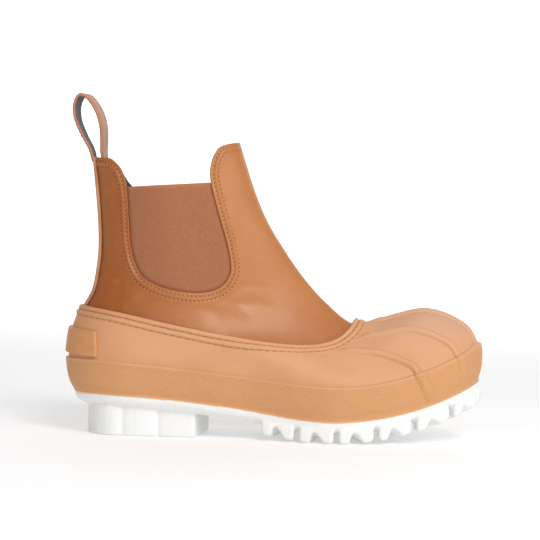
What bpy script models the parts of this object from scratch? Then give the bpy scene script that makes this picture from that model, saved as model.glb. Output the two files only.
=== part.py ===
"""Pull-on duck boot for the right foot: a leather shaft with two elastic gores, set in a moulded rubber
shell on a white lugged sole. Metres, +X to the toe, +Y to the inner side of the foot, +Z up, floor at z = 0.

Every curved piece is cut from or offset from one last, a surface that runs round the foot by an angle
(0 at the heel, pi at the toe, outer side first) and up the boot by a row number of the table RINGS."""

import math

import bmesh
import bpy
import numpy as np

MM = 0.001
PI = math.pi

for old in list(bpy.data.objects):
    bpy.data.objects.remove(old)

# Whole boot
BOOT_LENGTH = 294.8 * MM
HEEL_LINE_Y = -3.9 * MM
TOE_SWING = 8.0 * MM
SWING_FROM = 110.0 * MM
BALL_SKEW = 0.10
HEEL_AT = 0.15
WAIST_AT = 0.42
BALL_AT = 0.70
FIT_GAP = 0.3 * MM

# Walls
LEATHER_WALL = 2.0 * MM
LEATHER_LAP = 13.0 * MM
LAP_SKIVE = 0.55 * MM
SEAM_WIDTH = 6.5 * MM
SEAM_RISE = 0.8 * MM
GORE_SINK = 0.4 * MM
GORE_WALL = 1.4 * MM
GORE_TOP_BACK = 170.9 * MM
GORE_TOP_FRONT = 175.5 * MM
SHELL_WALL = 2.8 * MM
FOXING_STEP = 2.0 * MM
RIM_BAND = 7.6 * MM
RIM_STEP = 0.9 * MM
RIB_RISE = 1.3 * MM
FAN_SPREAD = 0.04
FAN_FOOT = 0.13
FAN_REACH = math.radians(107)
FAN_ROWS = 2.6

# Fittings
TAB_HALF_ANGLE = math.radians(33)
TAB_LOW = 2.9 * MM
TAB_HIGH = 20.2 * MM
TAB_WALL = 2.0 * MM
TAB_BEVEL = 0.7 * MM
TAB_TILT = 1.5 * MM
STRAP_WIDTH = 12.5 * MM
STRAP_WALL = 2.0 * MM
STRAP_GAP = 0.55 * MM
LOOP_WIDTH = 13.0 * MM
LOOP_WALL = 2.2 * MM
LOOP_TWIST = math.radians(14)
LOOP_BOW = 33.0
INSOLE_WALL = 5.0 * MM

# Sole
SOLE_BAND = 7.8 * MM
SOLE_DEPTH = 14.8 * MM
SOLE_EDGE_INSET = 0.5 * MM
SOLE_TOE_OUT = 1.5 * MM
HEEL_BACK = 19.4 * MM
HEEL_BREAST = 99.2 * MM
BREAST_SLANT = 2.4 * MM
HEEL_CORNER = 3.4 * MM
HEEL_EDGE = 1.2 * MM
HEEL_HALF_WIDTH = 28.0 * MM
HEEL_ROUND = 25.0 * MM
HEEL_TOP = 21.0 * MM
LOBE_FROM = 44.4 * MM
LOBE_PITCH = 25.8 * MM
LOBE_DEPTH = 1.6 * MM
LUG_FROM = 153.0 * MM
LUG_OUT = 0.6 * MM
LUG_TOE_OUT = 1.8 * MM
LUG_INNER = 0.6
LUG_BEVEL = 1.4 * MM
TUNNEL_AT = -0.07
TUNNEL_HIGH = 8.0 * MM
TUNNEL_LOW = 2.1 * MM
TUNNEL_NARROWS = 0.4

# Rings of the last in millimetres from the heel's back and the floor. Each ring dips from the back height
# to the low height at an angle in degrees and climbs again to the toe; drop and rise shape those two runs.
# Widths are half widths at the heel, waist and ball; caps are the rounded shares of the ring's length.
RING_COLUMNS = ("back_x", "back_z", "front_x", "front_z", "low_z", "low_at", "drop", "rise",
                "heel_w", "waist_w", "ball_w", "back_cap", "front_cap")
RINGS = (
    ("feather", 14.9, 28.0, 284.7, 42.5, 14.35, 108, 2.27, 1.06, 29.5, 31.0, 43.5, 0.17, 0.34),
    ("band_mid", 9.7, 39.8, 285.3, 54.6, 26.8, 110, 2.1, 1.0, 32.5, 34.5, 46.6, 0.17, 0.34),
    ("band_top", 7.9, 52.3, 283.8, 65.9, 38.2, 115, 1.8, 0.92, 33.2, 35.5, 46.8, 0.18, 0.355),
    ("toe_turn", 8.2, 61.0, 275.6, 77.7, 45.3, 118, 1.65, 0.95, 33.0, 35.5, 45.5, 0.19, 0.40),
    ("crown", 9.5, 70.0, 252.0, 85.9, 53.0, 121, 1.5, 0.95, 32.0, 35.0, 42.0, 0.21, 0.44),
    ("vamp", 12.2, 78.8, 222.0, 78.9, 58.8, 126, 1.42, 1.15, 30.8, 34.3, 37.5, 0.24, 0.42),
    ("rim", 16.2, 86.6, 202.0, 79.2, 63.1, 130, 1.4, 1.3, 29.6, 33.7, 33.4, 0.28, 0.36),
    ("ankle", 22.0, 98.0, 183.5, 93.0, 75.4, 126, 1.3, 1.2, 28.5, 32.0, 28.5, 0.33, 0.38),
    ("instep", 24.8, 112.0, 165.5, 112.5, 92.0, 120, 1.3, 1.1, 28.0, 31.0, 26.0, 0.38, 0.42),
    ("gore_low", 26.2, 130.0, 150.3, 134.0, 113.0, 115, 1.2, 1.0, 27.5, 30.0, 26.0, 0.42, 0.45),
    ("gore_mid", 25.2, 150.0, 140.7, 150.0, 136.0, 110, 1.2, 1.0, 27.0, 29.8, 26.5, 0.46, 0.48),
    ("gore_top", 23.2, 170.0, 132.0, 170.0, 163.0, 100, 1.2, 1.0, 27.0, 30.0, 27.5, 0.50, 0.50),
    ("collar", 20.8, 190.6, 120.6, 203.6, 197.0, 90, 1.0, 1.0, 28.0, 31.0, 28.0, 0.50, 0.50),
)
RING_VALUES = {
    name: np.array([ring[1 + place] for ring in RINGS], float) for place, name in enumerate(RING_COLUMNS)
}
ROW = {ring[0]: float(number) for number, ring in enumerate(RINGS)}
FEATHER = ROW["feather"]
BAND_TOP = ROW["band_top"]
RIM = ROW["rim"]
COLLAR = ROW["collar"]

# Toe ribs: angle from the toe's centre line and half width, both in degrees
RIBS = (
    (-42.0, 1.5),
    (-23.0, 2.0),
    (0.0, 2.4),
    (23.0, 2.0),
    (42.0, 1.5),
)

# Edge of the gore notch in side view: millimetres from the heel's back and the floor, back tab first
NOTCH = (
    (25.0, 190.6),
    (30.2, 190.0),
    (36.2, 187.2),
    (41.3, 182.4),
    (44.6, 175.8),
    (46.2, 167.5),
    (47.0, 150.0),
    (48.6, 132.5),
    (52.0, 119.0),
    (59.5, 108.2),
    (75.0, 101.6),
    (95.0, 99.0),
    (109.0, 101.8),
    (116.4, 109.0),
    (118.2, 118.0),
    (115.0, 134.0),
    (108.2, 156.5),
    (103.6, 173.5),
    (102.8, 185.0),
    (105.8, 195.0),
    (111.7, 200.7),
    (117.6, 202.2),
    (122.2, 200.8),
    (125.6, 194.4),
    (128.7, 186.0),
)

# Further cut on the inner side only, where the back tab stands lower, in the same view and from back to front
INNER_TAB = (
    (22.0, 189.2),
    (26.2, 188.5),
    (32.2, 185.7),
    (37.3, 180.9),
    (41.6, 174.8),
    (46.0, 167.0),
)

# Middle of the pull loop's strap in side view, from the top of the back strap round to inside the collar
LOOP_PATH = (
    (19.2, 190.4),
    (16.8, 196.5),
    (12.0, 205.5),
    (7.6, 216.0),
    (6.6, 224.5),
    (8.4, 231.2),
    (11.8, 233.6),
    (16.8, 231.0),
    (22.6, 222.2),
    (25.5, 212.5),
    (26.1, 203.0),
    (25.9, 195.5),
    (26.5, 189.0),
    (27.2, 182.0),
    (28.2, 173.0),
)

# Edge lugs of one side: share of the way along the edge to the toe's tip, length and depth in millimetres
LUGS = (
    (0.000, 22.8, 22.0),
    (0.169, 23.4, 22.0),
    (0.340, 23.6, 22.0),
    (0.506, 22.6, 20.0),
    (0.674, 24.0, 18.0),
    (0.832, 19.8, 16.0),
    (0.948, 14.0, 13.0),
)

# Arched tunnel under a lug, as a section: place along the lug from the crown as a share of the lug's length,
# and height as a share of the crown's
TUNNEL_SECTION = (
    (-0.135, -0.30),
    (-0.12, 0.13),
    (-0.08, 0.64),
    (-0.025, 0.97),
    (0.04, 0.93),
    (0.105, 0.68),
    (0.18, 0.28),
    (0.24, -0.30),
)

# Edge of the sole's band: inset and drop as shares of the band's height
SOLE_EDGE = (
    (0.00, 0.00),
    (0.04, 0.20),
    (0.22, 0.55),
    (0.55, 0.85),
    (1.00, 1.00),
)


def smooth(q):
    """Eased step from 0 to 1 while q runs from 0 to 1: q squared times (3 - 2q)."""
    q = np.clip(q, 0.0, 1.0)
    return q * q * (3.0 - 2.0 * q)


def round_cap(q):
    """Quarter circle from 0 to 1 while q runs from 0 to 1."""
    return np.sqrt(1.0 - (1.0 - np.clip(q, 0.0, 1.0)) ** 2)


def through(values, place):
    """Catmull-Rom curve through the values, read at fractional places."""
    first = np.clip(np.floor(place).astype(int), 0, len(values) - 2)
    f = place - first
    padded = np.concatenate(([2 * values[0] - values[1]], values, [2 * values[-1] - values[-2]]))
    a = padded[first]
    b = padded[first + 1]
    c = padded[first + 2]
    d = padded[first + 3]
    return 0.5 * (2 * b + (c - a) * f + (2 * a - 5 * b + 4 * c - d) * f**2 + (3 * b - a - 3 * c + d) * f**3)


def path_through(points, per_span):
    """Smooth side-view path in metres through a table of millimetre points."""
    table = np.array(points, float) * MM
    place = np.linspace(0, len(table) - 1, (len(table) - 1) * per_span + 1)
    return np.stack([through(table[:, 0], place), through(table[:, 1], place)], axis=-1)


def last_point(angle, row):
    """Point of the last: x and z from the ring's back, low and front places, y from its half width."""
    angle, row = np.broadcast_arrays(np.asarray(angle, float), np.asarray(row, float))
    ring = {name: through(values, row) for name, values in RING_VALUES.items()}
    wrapped = np.mod(angle, 2 * PI)
    side = np.where(wrapped < PI, -1.0, 1.0)
    fold = np.where(wrapped < PI, wrapped, 2 * PI - wrapped)
    wide = np.clip((PI - fold) / FAN_REACH, 0.0, 1.0)
    spread = FAN_SPREAD * smooth((row - BAND_TOP) / FAN_ROWS)
    spread = spread - FAN_FOOT * np.clip(1.0 - row / BAND_TOP, 0.0, 1.0)
    fan = spread * wide * (1.0 - wide**2)
    fold = fold - fan * FAN_REACH
    along = (1.0 - np.cos(fold)) / 2.0
    x = (ring["back_x"] + (ring["front_x"] - ring["back_x"]) * along) * MM
    to_waist = smooth((along - HEEL_AT) / (WAIST_AT - HEEL_AT))
    to_ball = smooth((along - WAIST_AT) / (BALL_AT - WAIST_AT))
    half = ring["heel_w"] + (ring["waist_w"] - ring["heel_w"]) * to_waist
    half = half + (ring["ball_w"] - ring["waist_w"]) * to_ball
    half = half * round_cap(along / ring["back_cap"]) * round_cap((1.0 - along) / ring["front_cap"])
    y = side * half * MM
    low = np.radians(ring["low_at"])
    falling = smooth(np.clip(fold / low, 0.0, 1.0) ** ring["drop"])
    rising = smooth(np.clip((fold - low) / (PI - low), 0.0, 1.0) ** ring["rise"])
    z = ring["back_z"] + (ring["low_z"] - ring["back_z"]) * falling
    z = (z + (ring["front_z"] - ring["low_z"]) * rising) * MM
    x = x + BALL_SKEW * y * smooth((along - 0.4) / 0.25) * (1.0 - smooth((along - 0.75) / 0.25))
    y = y + HEEL_LINE_Y + TOE_SWING * smooth((x - SWING_FROM) / (BOOT_LENGTH - SWING_FROM))
    return np.stack([x - BOOT_LENGTH / 2, y, z], axis=-1)


def skin(angle, row, offset):
    """Point this far outside the last, along its normal, which is laid level at the feather edge."""
    turn = 1e-4
    step = 1e-3
    row = np.asarray(row, float)
    along = last_point(angle + turn, row) - last_point(angle - turn, row)
    up = last_point(angle, row + step) - last_point(angle, row - step)
    normal = np.cross(along, up)
    normal[..., 2] *= smooth(row / 1.0)
    normal /= np.linalg.norm(normal, axis=-1, keepdims=True)
    return last_point(angle, row) + normal * np.asarray(offset, float)[..., None]


def row_at(angles, low, high, share, shift=0.0):
    """Row at this share of the way up the surface from row low to row high, then shift metres further."""
    rows = np.linspace(max(low - 1.0, FEATHER), min(high + 1.0, COLLAR), 120)
    shifts = np.broadcast_to(shift, np.shape(angles))
    found = []
    for angle, further in zip(np.asarray(angles, float), shifts):
        line = last_point(angle, rows)
        run = np.concatenate(([0.0], np.cumsum(np.linalg.norm(np.diff(line, axis=0), axis=1))))
        start = np.interp(low, rows, run)
        end = np.interp(high, rows, run)
        found.append(np.interp(start + share * (end - start) + further, run, rows))
    return np.array(found)


def down_from_rim(angles, face, distance):
    """Metres down each column of the last to where a face outside it stands this far from the rim's line."""
    rows = np.linspace(RIM, BAND_TOP, 160)
    around = np.radians(np.arange(0.0, 360.0, 0.5))
    rim = skin(around, np.full(len(around), RIM), np.full(len(around), face))
    found = []
    for angle in angles:
        line = skin(np.full(len(rows), angle), rows, np.full(len(rows), face))
        away = np.linalg.norm(line[:, None] - rim[None], axis=-1).min(axis=1)
        steps = np.linalg.norm(np.diff(last_point(angle, rows), axis=0), axis=1)
        found.append(np.interp(distance, away, np.concatenate(([0.0], np.cumsum(steps)))))
    return np.array(found)


def angle_at_y(row, across):
    """Angle near the heel at which the last stands this far from its centre line."""
    angles = np.linspace(-0.9, 0.9, 361)
    y = last_point(angles, row)[:, 1] - HEEL_LINE_Y
    return np.interp(-across, -y, angles)


def collection(name):
    made = bpy.data.collections.new(name)
    bpy.context.scene.collection.children.link(made)
    return made


PARTS = collection("duck_boot")
CUTTERS = collection("cutters")
LUG_BLOCKS = bpy.data.collections.new("lug_blocks")
CUTTERS.children.link(LUG_BLOCKS)


def mesh_object(name, points, faces, home=PARTS):
    """Closed mesh with its normals turned out; helpers in another collection are made of triangles, so that
    they have only flat faces, and are kept out of renders."""
    mesh = bpy.data.meshes.new(name)
    mesh.from_pydata(np.asarray(points).tolist(), [], faces)
    work = bmesh.new()
    work.from_mesh(mesh)
    bmesh.ops.recalc_face_normals(work, faces=work.faces)
    if home is not PARTS:
        bmesh.ops.triangulate(work, faces=work.faces)
    work.to_mesh(mesh)
    work.free()
    made = bpy.data.objects.new(name, mesh)
    home.objects.link(made)
    if home is not PARTS:
        made.hide_render = True
        made.display_type = "WIRE"
    return made


def wall(name, angles, profile, home=PARTS):
    """Closed wall: a loop of (row, offset) pairs carried round every angle."""
    rings = [skin(angles, row, offset) for row, offset in profile]
    points = np.stack(rings, axis=1)
    around = len(angles)
    tall = len(profile)
    faces = []
    for i in range(around):
        for j in range(tall):
            after = (i + 1) % around
            over = (j + 1) % tall
            faces.append((i * tall + j, after * tall + j, after * tall + over, i * tall + over))
    return mesh_object(name, points.reshape(-1, 3), faces, home)


def stack(name, rings, home=PARTS):
    """Loft through closed outlines of equal length, with strips across the first and the last."""
    points = np.concatenate(rings)
    count = len(rings[0])
    faces = []
    for level in range(len(rings) - 1):
        for i in range(count):
            after = (i + 1) % count
            base = level * count
            faces.append((base + i, base + after, base + count + after, base + count + i))
    for base in (0, (len(rings) - 1) * count):
        for i in range(count // 2):
            strip = list(dict.fromkeys([i, i + 1, count - i - 1, (count - i) % count]))
            faces.append(tuple(base + k for k in strip))
    return mesh_object(name, points, faces, home)


def slab(name, front, back):
    """Sheet closed between two grids of equal shape."""
    rows, columns = front.shape[:2]
    points = np.concatenate([front.reshape(-1, 3), back.reshape(-1, 3)])
    half = rows * columns
    faces = []
    for i in range(rows - 1):
        for j in range(columns - 1):
            quad = (i * columns + j, i * columns + j + 1, (i + 1) * columns + j + 1, (i + 1) * columns + j)
            faces.append(quad)
            faces.append(tuple(half + k for k in reversed(quad)))
    edge = [j for j in range(columns)]
    edge += [i * columns + columns - 1 for i in range(1, rows)]
    edge += [(rows - 1) * columns + j for j in range(columns - 2, -1, -1)]
    edge += [i * columns for i in range(rows - 2, 0, -1)]
    for k, start in enumerate(edge):
        end = edge[(k + 1) % len(edge)]
        faces.append((start, end, half + end, half + start))
    return mesh_object(name, points, faces)


def prism(name, outline, y_from, y_to):
    """Side-view outline of (x, z) carried across the boot."""
    count = len(outline)
    near = np.stack([outline[:, 0], np.full(count, y_from), outline[:, 1]], axis=-1)
    far = np.stack([outline[:, 0], np.full(count, y_to), outline[:, 1]], axis=-1)
    faces = [tuple(range(count)), tuple(range(2 * count - 1, count - 1, -1))]
    for i in range(count):
        after = (i + 1) % count
        faces.append((i, after, count + after, count + i))
    return mesh_object(name, np.concatenate([near, far]), faces, CUTTERS)


def boolean(target, operation, cutter):
    """Exact Boolean modifier with one object or a whole collection."""
    made = target.modifiers.new(operation.lower(), "BOOLEAN")
    made.operation = operation
    made.solver = "EXACT"
    if isinstance(cutter, bpy.types.Collection):
        made.operand_type = "COLLECTION"
        made.collection = cutter
    else:
        made.object = cutter


def paint(target, red, green, blue, roughness):
    """Own Principled material; the colour is given as it looks on a screen, 0 to 255."""
    made = bpy.data.materials.new(target.name)
    made.use_nodes = True
    shader = made.node_tree.nodes["Principled BSDF"]
    linear = [((c / 255 + 0.055) / 1.055) ** 2.4 for c in (red, green, blue)]
    shader.inputs["Base Color"].default_value = (*linear, 1.0)
    shader.inputs["Roughness"].default_value = roughness
    target.data.materials.append(made)


def notch_outline(grow, points=NOTCH):
    """Gore notch in side view, moved outward by grow and closed well above the collar."""
    path = path_through(points, 3)
    run = np.gradient(path, axis=0)
    normal = np.stack([run[:, 1], -run[:, 0]], axis=-1)
    normal /= np.linalg.norm(normal, axis=1, keepdims=True)
    moved = path + normal * grow
    moved[:, 0] -= BOOT_LENGTH / 2
    top = 230.0 * MM
    return np.concatenate([moved, [[moved[-1, 0], top], [moved[0, 0], top]]])


def below_line(outline, start, end):
    """Part of a closed outline below the line from start to end."""
    away = outline - np.array(start)
    side = (end[0] - start[0]) * away[:, 1] - (end[1] - start[1]) * away[:, 0]
    kept = []
    for i in range(len(outline)):
        after = (i + 1) % len(outline)
        if side[i] <= 0:
            kept.append(outline[i])
        if (side[i] <= 0) != (side[after] <= 0):
            share = side[i] / (side[i] - side[after])
            kept.append(outline[i] + share * (outline[after] - outline[i]))
    return np.array(kept)


# Angles of the columns: even steps, with three columns at each toe rib
even = np.arange(0, 360, 6.0)
centres = np.array([180.0 + rib[0] for rib in RIBS])
reach = np.array([rib[1] for rib in RIBS])
clear = [a for a in even if np.all(np.abs(a - centres) > reach + 1.2)]
ribbed = np.concatenate([clear, centres - reach, centres, centres + reach])
SHELL_ANGLES = np.radians(np.sort(ribbed))
EVEN_ANGLES = np.radians(np.arange(0, 360, 6.0))
on_rib = np.isin(np.round(np.degrees(SHELL_ANGLES), 3), np.round(centres, 3)).astype(float)

# Rubber shell: foxing band, ribbed toe and stepped rim outside, one smooth wall inside
foot = FIT_GAP + SHELL_WALL
foxing = foot + FOXING_STEP
rim_out = foot + RIM_STEP
rim_band = down_from_rim(SHELL_ANGLES, foot, RIM_BAND)
shell_profile = []
for share in (0.0, 0.3, 0.65):
    row = row_at(SHELL_ANGLES, FEATHER, BAND_TOP, share)
    shell_profile.append((row, foxing + on_rib * RIB_RISE * share))
row = row_at(SHELL_ANGLES, FEATHER, BAND_TOP, 1.0, -1.2 * MM)
shell_profile.append((row, foxing + on_rib * RIB_RISE * 0.9))
shell_profile.append((row_at(SHELL_ANGLES, FEATHER, BAND_TOP, 1.0), foxing - 0.6 * MM + on_rib * RIB_RISE))
shell_profile.append((row_at(SHELL_ANGLES, FEATHER, BAND_TOP, 1.0, 0.5 * MM), foot + on_rib * RIB_RISE))
for share, height in ((0.12, 1.0), (0.26, 1.0), (0.40, 1.0), (0.54, 1.0), (0.68, 1.0), (0.84, 0.8)):
    row = row_at(SHELL_ANGLES, BAND_TOP, RIM, share, -share * (rim_band + 1.0 * MM))
    shell_profile.append((row, foot + on_rib * RIB_RISE * height))
shell_profile.append((row_at(SHELL_ANGLES, BAND_TOP, RIM, 1.0, -rim_band - 0.6 * MM), foot + on_rib * 0.0))
shell_profile.append((row_at(SHELL_ANGLES, BAND_TOP, RIM, 1.0, -rim_band), rim_out + on_rib * 0.0))
shell_profile.append((row_at(SHELL_ANGLES, BAND_TOP, RIM, 1.0, -0.8 * MM), rim_out + on_rib * 0.0))
shell_profile.append((np.full(len(SHELL_ANGLES), RIM), foot + on_rib * 0.0))
for share in (1.0, 0.7, 0.35, 0.0):
    shell_profile.append((row_at(SHELL_ANGLES, BAND_TOP, RIM, share), FIT_GAP + on_rib * 0.0))
for share in (0.5, 0.0):
    shell_profile.append((row_at(SHELL_ANGLES, FEATHER, BAND_TOP, share), FIT_GAP + on_rib * 0.0))
rubber_shell = wall("rubber_shell", SHELL_ANGLES, shell_profile)
paint(rubber_shell, 222, 166, 118, 0.55)

# Leather upper: one hollow wall from its lap, skived thin inside the shell, up to the collar
flat = np.zeros(len(EVEN_ANGLES))
lap = row_at(EVEN_ANGLES, BAND_TOP, RIM, 1.0, -LEATHER_LAP)
climb = [lap, row_at(EVEN_ANGLES, BAND_TOP, RIM, 1.0, -0.5 * LEATHER_LAP)]
for share in (0.0, 0.06, 0.13, 0.21, 0.3, 0.4, 0.55, 0.7, 0.85):
    climb.append(row_at(EVEN_ANGLES, RIM, COLLAR, share))
climb.append(np.full(len(EVEN_ANGLES), COLLAR))
sinks = [LAP_SKIVE] * 3 + [0.0] * (len(climb) - 3)
upper_profile = [(row, flat - sink) for row, sink in zip(climb, sinks)]
upper_profile += [(row, flat - LEATHER_WALL) for row in reversed(climb)]
leather_upper = wall("leather_upper", EVEN_ANGLES, upper_profile)
paint(leather_upper, 190, 122, 72, 0.4)

# Raised seam round each gore: a second wall kept only within the seam's width of the notch
seam_rows = [row_at(EVEN_ANGLES, RIM, COLLAR, share) for share in (0.06, 0.12, 0.26, 0.4, 0.55, 0.7, 0.85)]
seam_rows.append(np.full(len(EVEN_ANGLES), COLLAR - 0.02))
seam_profile = [(row, flat + SEAM_RISE) for row in seam_rows]
seam_profile += [(row, flat - LEATHER_WALL / 2) for row in reversed(seam_rows)]
seam = wall("seam_wall", EVEN_ANGLES, seam_profile, CUTTERS)
boolean(seam, "INTERSECT", prism("seam_outline", notch_outline(SEAM_WIDTH, NOTCH[:-3]), -60 * MM, 60 * MM))
boolean(leather_upper, "UNION", seam)
boolean(leather_upper, "DIFFERENCE", prism("notch", notch_outline(0.0), -70 * MM, 70 * MM))
inner_tab = path_through(INNER_TAB, 3)
inner_tab = np.concatenate([inner_tab, np.array([(70.0, 167.0), (70.0, 230.0), (22.0, 230.0)]) * MM])
inner_tab[:, 0] -= BOOT_LENGTH / 2
boolean(leather_upper, "DIFFERENCE", prism("inner_tab", inner_tab, 6 * MM, 70 * MM))

# Elastic gores: the same wall, thinner and sunk a little, inside the notch and below its straight top edge
gore_start = (30.0 * MM - BOOT_LENGTH / 2, GORE_TOP_BACK - 0.8 * MM)
gore_end = (120.0 * MM - BOOT_LENGTH / 2, GORE_TOP_FRONT + 0.7 * MM)
gore_outline = below_line(notch_outline(-FIT_GAP), gore_start, gore_end)
gore_rows = [row_at(EVEN_ANGLES, RIM, COLLAR, share) for share in (0.15, 0.28, 0.42, 0.56, 0.7, 0.85, 0.97)]
for name, y_from, y_to in (("gore_outer", -60 * MM, 0.0), ("gore_inner", 0.0, 60 * MM)):
    gore_profile = [(row, flat - GORE_SINK) for row in gore_rows]
    gore_profile += [(row, flat - GORE_SINK - GORE_WALL) for row in reversed(gore_rows)]
    gore = wall(name, EVEN_ANGLES, gore_profile)
    boolean(gore, "INTERSECT", prism(name + "_outline", gore_outline, y_from, y_to))
    paint(gore, 166, 105, 70, 0.8)

# Heel tab: raised patch on the shell behind the heel
tab_angles = np.linspace(-1.0, 1.0, 13) * TAB_HALF_ANGLE
tab_shares = np.linspace(0.0, 1.0, 4)


def tab_grid(offset, inset):
    """Grid of the tab's face, drawn in at every edge by inset; its two ends hang lower than its middle."""
    grow = 1.0 - inset / (30.0 * MM)
    hang = TAB_TILT * np.abs(tab_angles / TAB_HALF_ANGLE) ** 1.5
    low = TAB_LOW + inset - hang
    high = TAB_HIGH - inset - hang
    rows = [row_at(tab_angles * grow, BAND_TOP, RIM, 0.0, low + s * (high - low)) for s in tab_shares]
    return np.stack([skin(tab_angles * grow, row, offset + 0.0 * row) for row in rows])


heel_tab = slab("heel_tab", tab_grid(foot + FIT_GAP + TAB_WALL, TAB_BEVEL), tab_grid(foot + FIT_GAP, 0.0))
paint(heel_tab, 222, 166, 118, 0.55)

# Back strap: strip over the back seam, from the rim to just under the loop
strap_across = np.linspace(-0.5, 0.5, 5) * STRAP_WIDTH
strap_foot = row_at([0.0], RIM, COLLAR, 0.0, 1.4 * MM)
strap_rows = np.concatenate([strap_foot, np.linspace(RIM + 0.6, COLLAR - 0.07, 11)])
strap_angles = np.stack([angle_at_y(row, strap_across) for row in strap_rows])
strap_grid_rows = np.repeat(strap_rows[:, None], len(strap_across), axis=1)
strap_level = np.zeros(strap_grid_rows.shape)
back_strap = slab(
    "back_strap",
    skin(strap_angles, strap_grid_rows, strap_level + STRAP_GAP + STRAP_WALL),
    skin(strap_angles, strap_grid_rows, strap_level + STRAP_GAP),
)
paint(back_strap, 200, 150, 120, 0.5)

# Pull loop: flat strap bent over and down inside the collar, turned a little about the upright and bowed
# at both ends like the collar that it is sewn to
loop_path = path_through(LOOP_PATH, 2)
loop_run = np.gradient(loop_path, axis=0)
loop_run /= np.linalg.norm(loop_run, axis=1, keepdims=True)
loop_free = np.sin(np.linspace(0, 1, len(loop_path)) * PI)
loop_turn = LOOP_TWIST * loop_free
loop_bow = LOOP_BOW * (1.0 - loop_free)
loop_across = np.linspace(-0.5, 0.5, 5) * LOOP_WIDTH
loop_sides = []
for offset in (0.5 * LOOP_WALL, -0.5 * LOOP_WALL):
    x = loop_path[:, 0] - loop_run[:, 1] * offset - BOOT_LENGTH / 2
    z = loop_path[:, 1] + loop_run[:, 0] * offset
    grid_x = x[:, None] + np.sin(loop_turn)[:, None] * loop_across + loop_bow[:, None] * loop_across**2
    grid_y = np.cos(loop_turn)[:, None] * loop_across + HEEL_LINE_Y
    loop_sides.append(np.stack([grid_x, grid_y, np.repeat(z[:, None], len(loop_across), axis=1)], axis=-1))
pull_loop = slab("pull_loop", loop_sides[0], loop_sides[1])
paint(pull_loop, 200, 158, 138, 0.6)

# Insole: flat footbed that follows the sole's top from heel to toe spring
insole_low = skin(EVEN_ANGLES, FEATHER + flat, flat - 0.5 * MM)
insole_high = insole_low + np.array([0.0, 0.0, INSOLE_WALL])
insole = stack("insole", [insole_low, insole_high])
paint(insole, 60, 58, 58, 0.9)


def sole_ring(angles, inset, drop):
    """Outline of the sole's edge, this far inside the foxing and below the feather edge, wider round the toe."""
    toe = smooth((0.5 - 0.5 * np.cos(angles) - 0.78) / 0.22)
    ring = skin(angles, FEATHER + 0.0 * angles, foxing - SOLE_EDGE_INSET + SOLE_TOE_OUT * toe - inset)
    ring[:, 2] -= FIT_GAP + drop
    return ring


def ground(x):
    """Height of the tread's lowest face at this length along the boot."""
    angles = np.linspace(0.0, PI, 181)
    line = sole_ring(angles, 0.0, SOLE_DEPTH - FIT_GAP)
    height = np.interp(x, line[:, 0], line[:, 2])
    return np.maximum(height, 0.0)


# Outsole: banded edge, scalloped heel block and edge lugs, moulded as one
edge_rings = [sole_ring(EVEN_ANGLES, inset * SOLE_BAND, drop * SOLE_BAND) for inset, drop in SOLE_EDGE]
outsole = stack("outsole", edge_rings)
paint(outsole, 246, 246, 244, 0.5)

# Heel block: straight sides of three lobes each, round back, flat breast
heel_x = np.concatenate([
    HEEL_BACK + HEEL_ROUND * (1.0 - np.cos(np.linspace(0.0, PI / 2, 9)))[1:],
    LOBE_FROM + LOBE_PITCH * np.linspace(0.0, 1.0, 7)[:-1],
    LOBE_FROM + LOBE_PITCH * (1.0 + np.linspace(0.0, 0.8, 5)),
    HEEL_BREAST - HEEL_CORNER * (1.0 - np.sin(np.linspace(0.0, PI / 2, 4))),
])
heel_half = HEEL_HALF_WIDTH * round_cap((heel_x - HEEL_BACK) / HEEL_ROUND)
lobe = np.sqrt(np.abs(np.sin(PI * (heel_x - LOBE_FROM) / LOBE_PITCH)))
lobe = np.where((heel_x < LOBE_FROM - LOBE_PITCH / 2) | (heel_x > LOBE_FROM + 1.5 * LOBE_PITCH), 1.0, lobe)
corner = 1.0 - round_cap((HEEL_BREAST - heel_x) / HEEL_CORNER)
heel_half = heel_half + LOBE_DEPTH * (lobe - 1.0) - HEEL_CORNER * corner
slant = BREAST_SLANT * smooth((heel_x - LOBE_FROM) / (HEEL_BREAST - LOBE_FROM))
outer_side = np.stack([heel_x - slant - BOOT_LENGTH / 2, HEEL_LINE_Y - heel_half], axis=-1)
inner_side = np.stack([heel_x + slant - BOOT_LENGTH / 2, HEEL_LINE_Y + heel_half], axis=-1)[::-1]
heel_outline = np.concatenate([[[HEEL_BACK - BOOT_LENGTH / 2, HEEL_LINE_Y]], outer_side, inner_side])
heel_middle = np.array([0.5 * (HEEL_BACK + HEEL_BREAST) - BOOT_LENGTH / 2, HEEL_LINE_Y])
heel_rings = []
for z, shrink in ((0.0, HEEL_EDGE), (HEEL_EDGE, 0.0), (HEEL_TOP, 0.0)):
    level = heel_middle + (heel_outline - heel_middle) * (1.0 - shrink / HEEL_HALF_WIDTH)
    heel_rings.append(np.column_stack([level, np.full(len(level), z)]))
heel_block = stack("heel_block", heel_rings, CUTTERS)
boolean(outsole, "UNION", heel_block)

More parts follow.
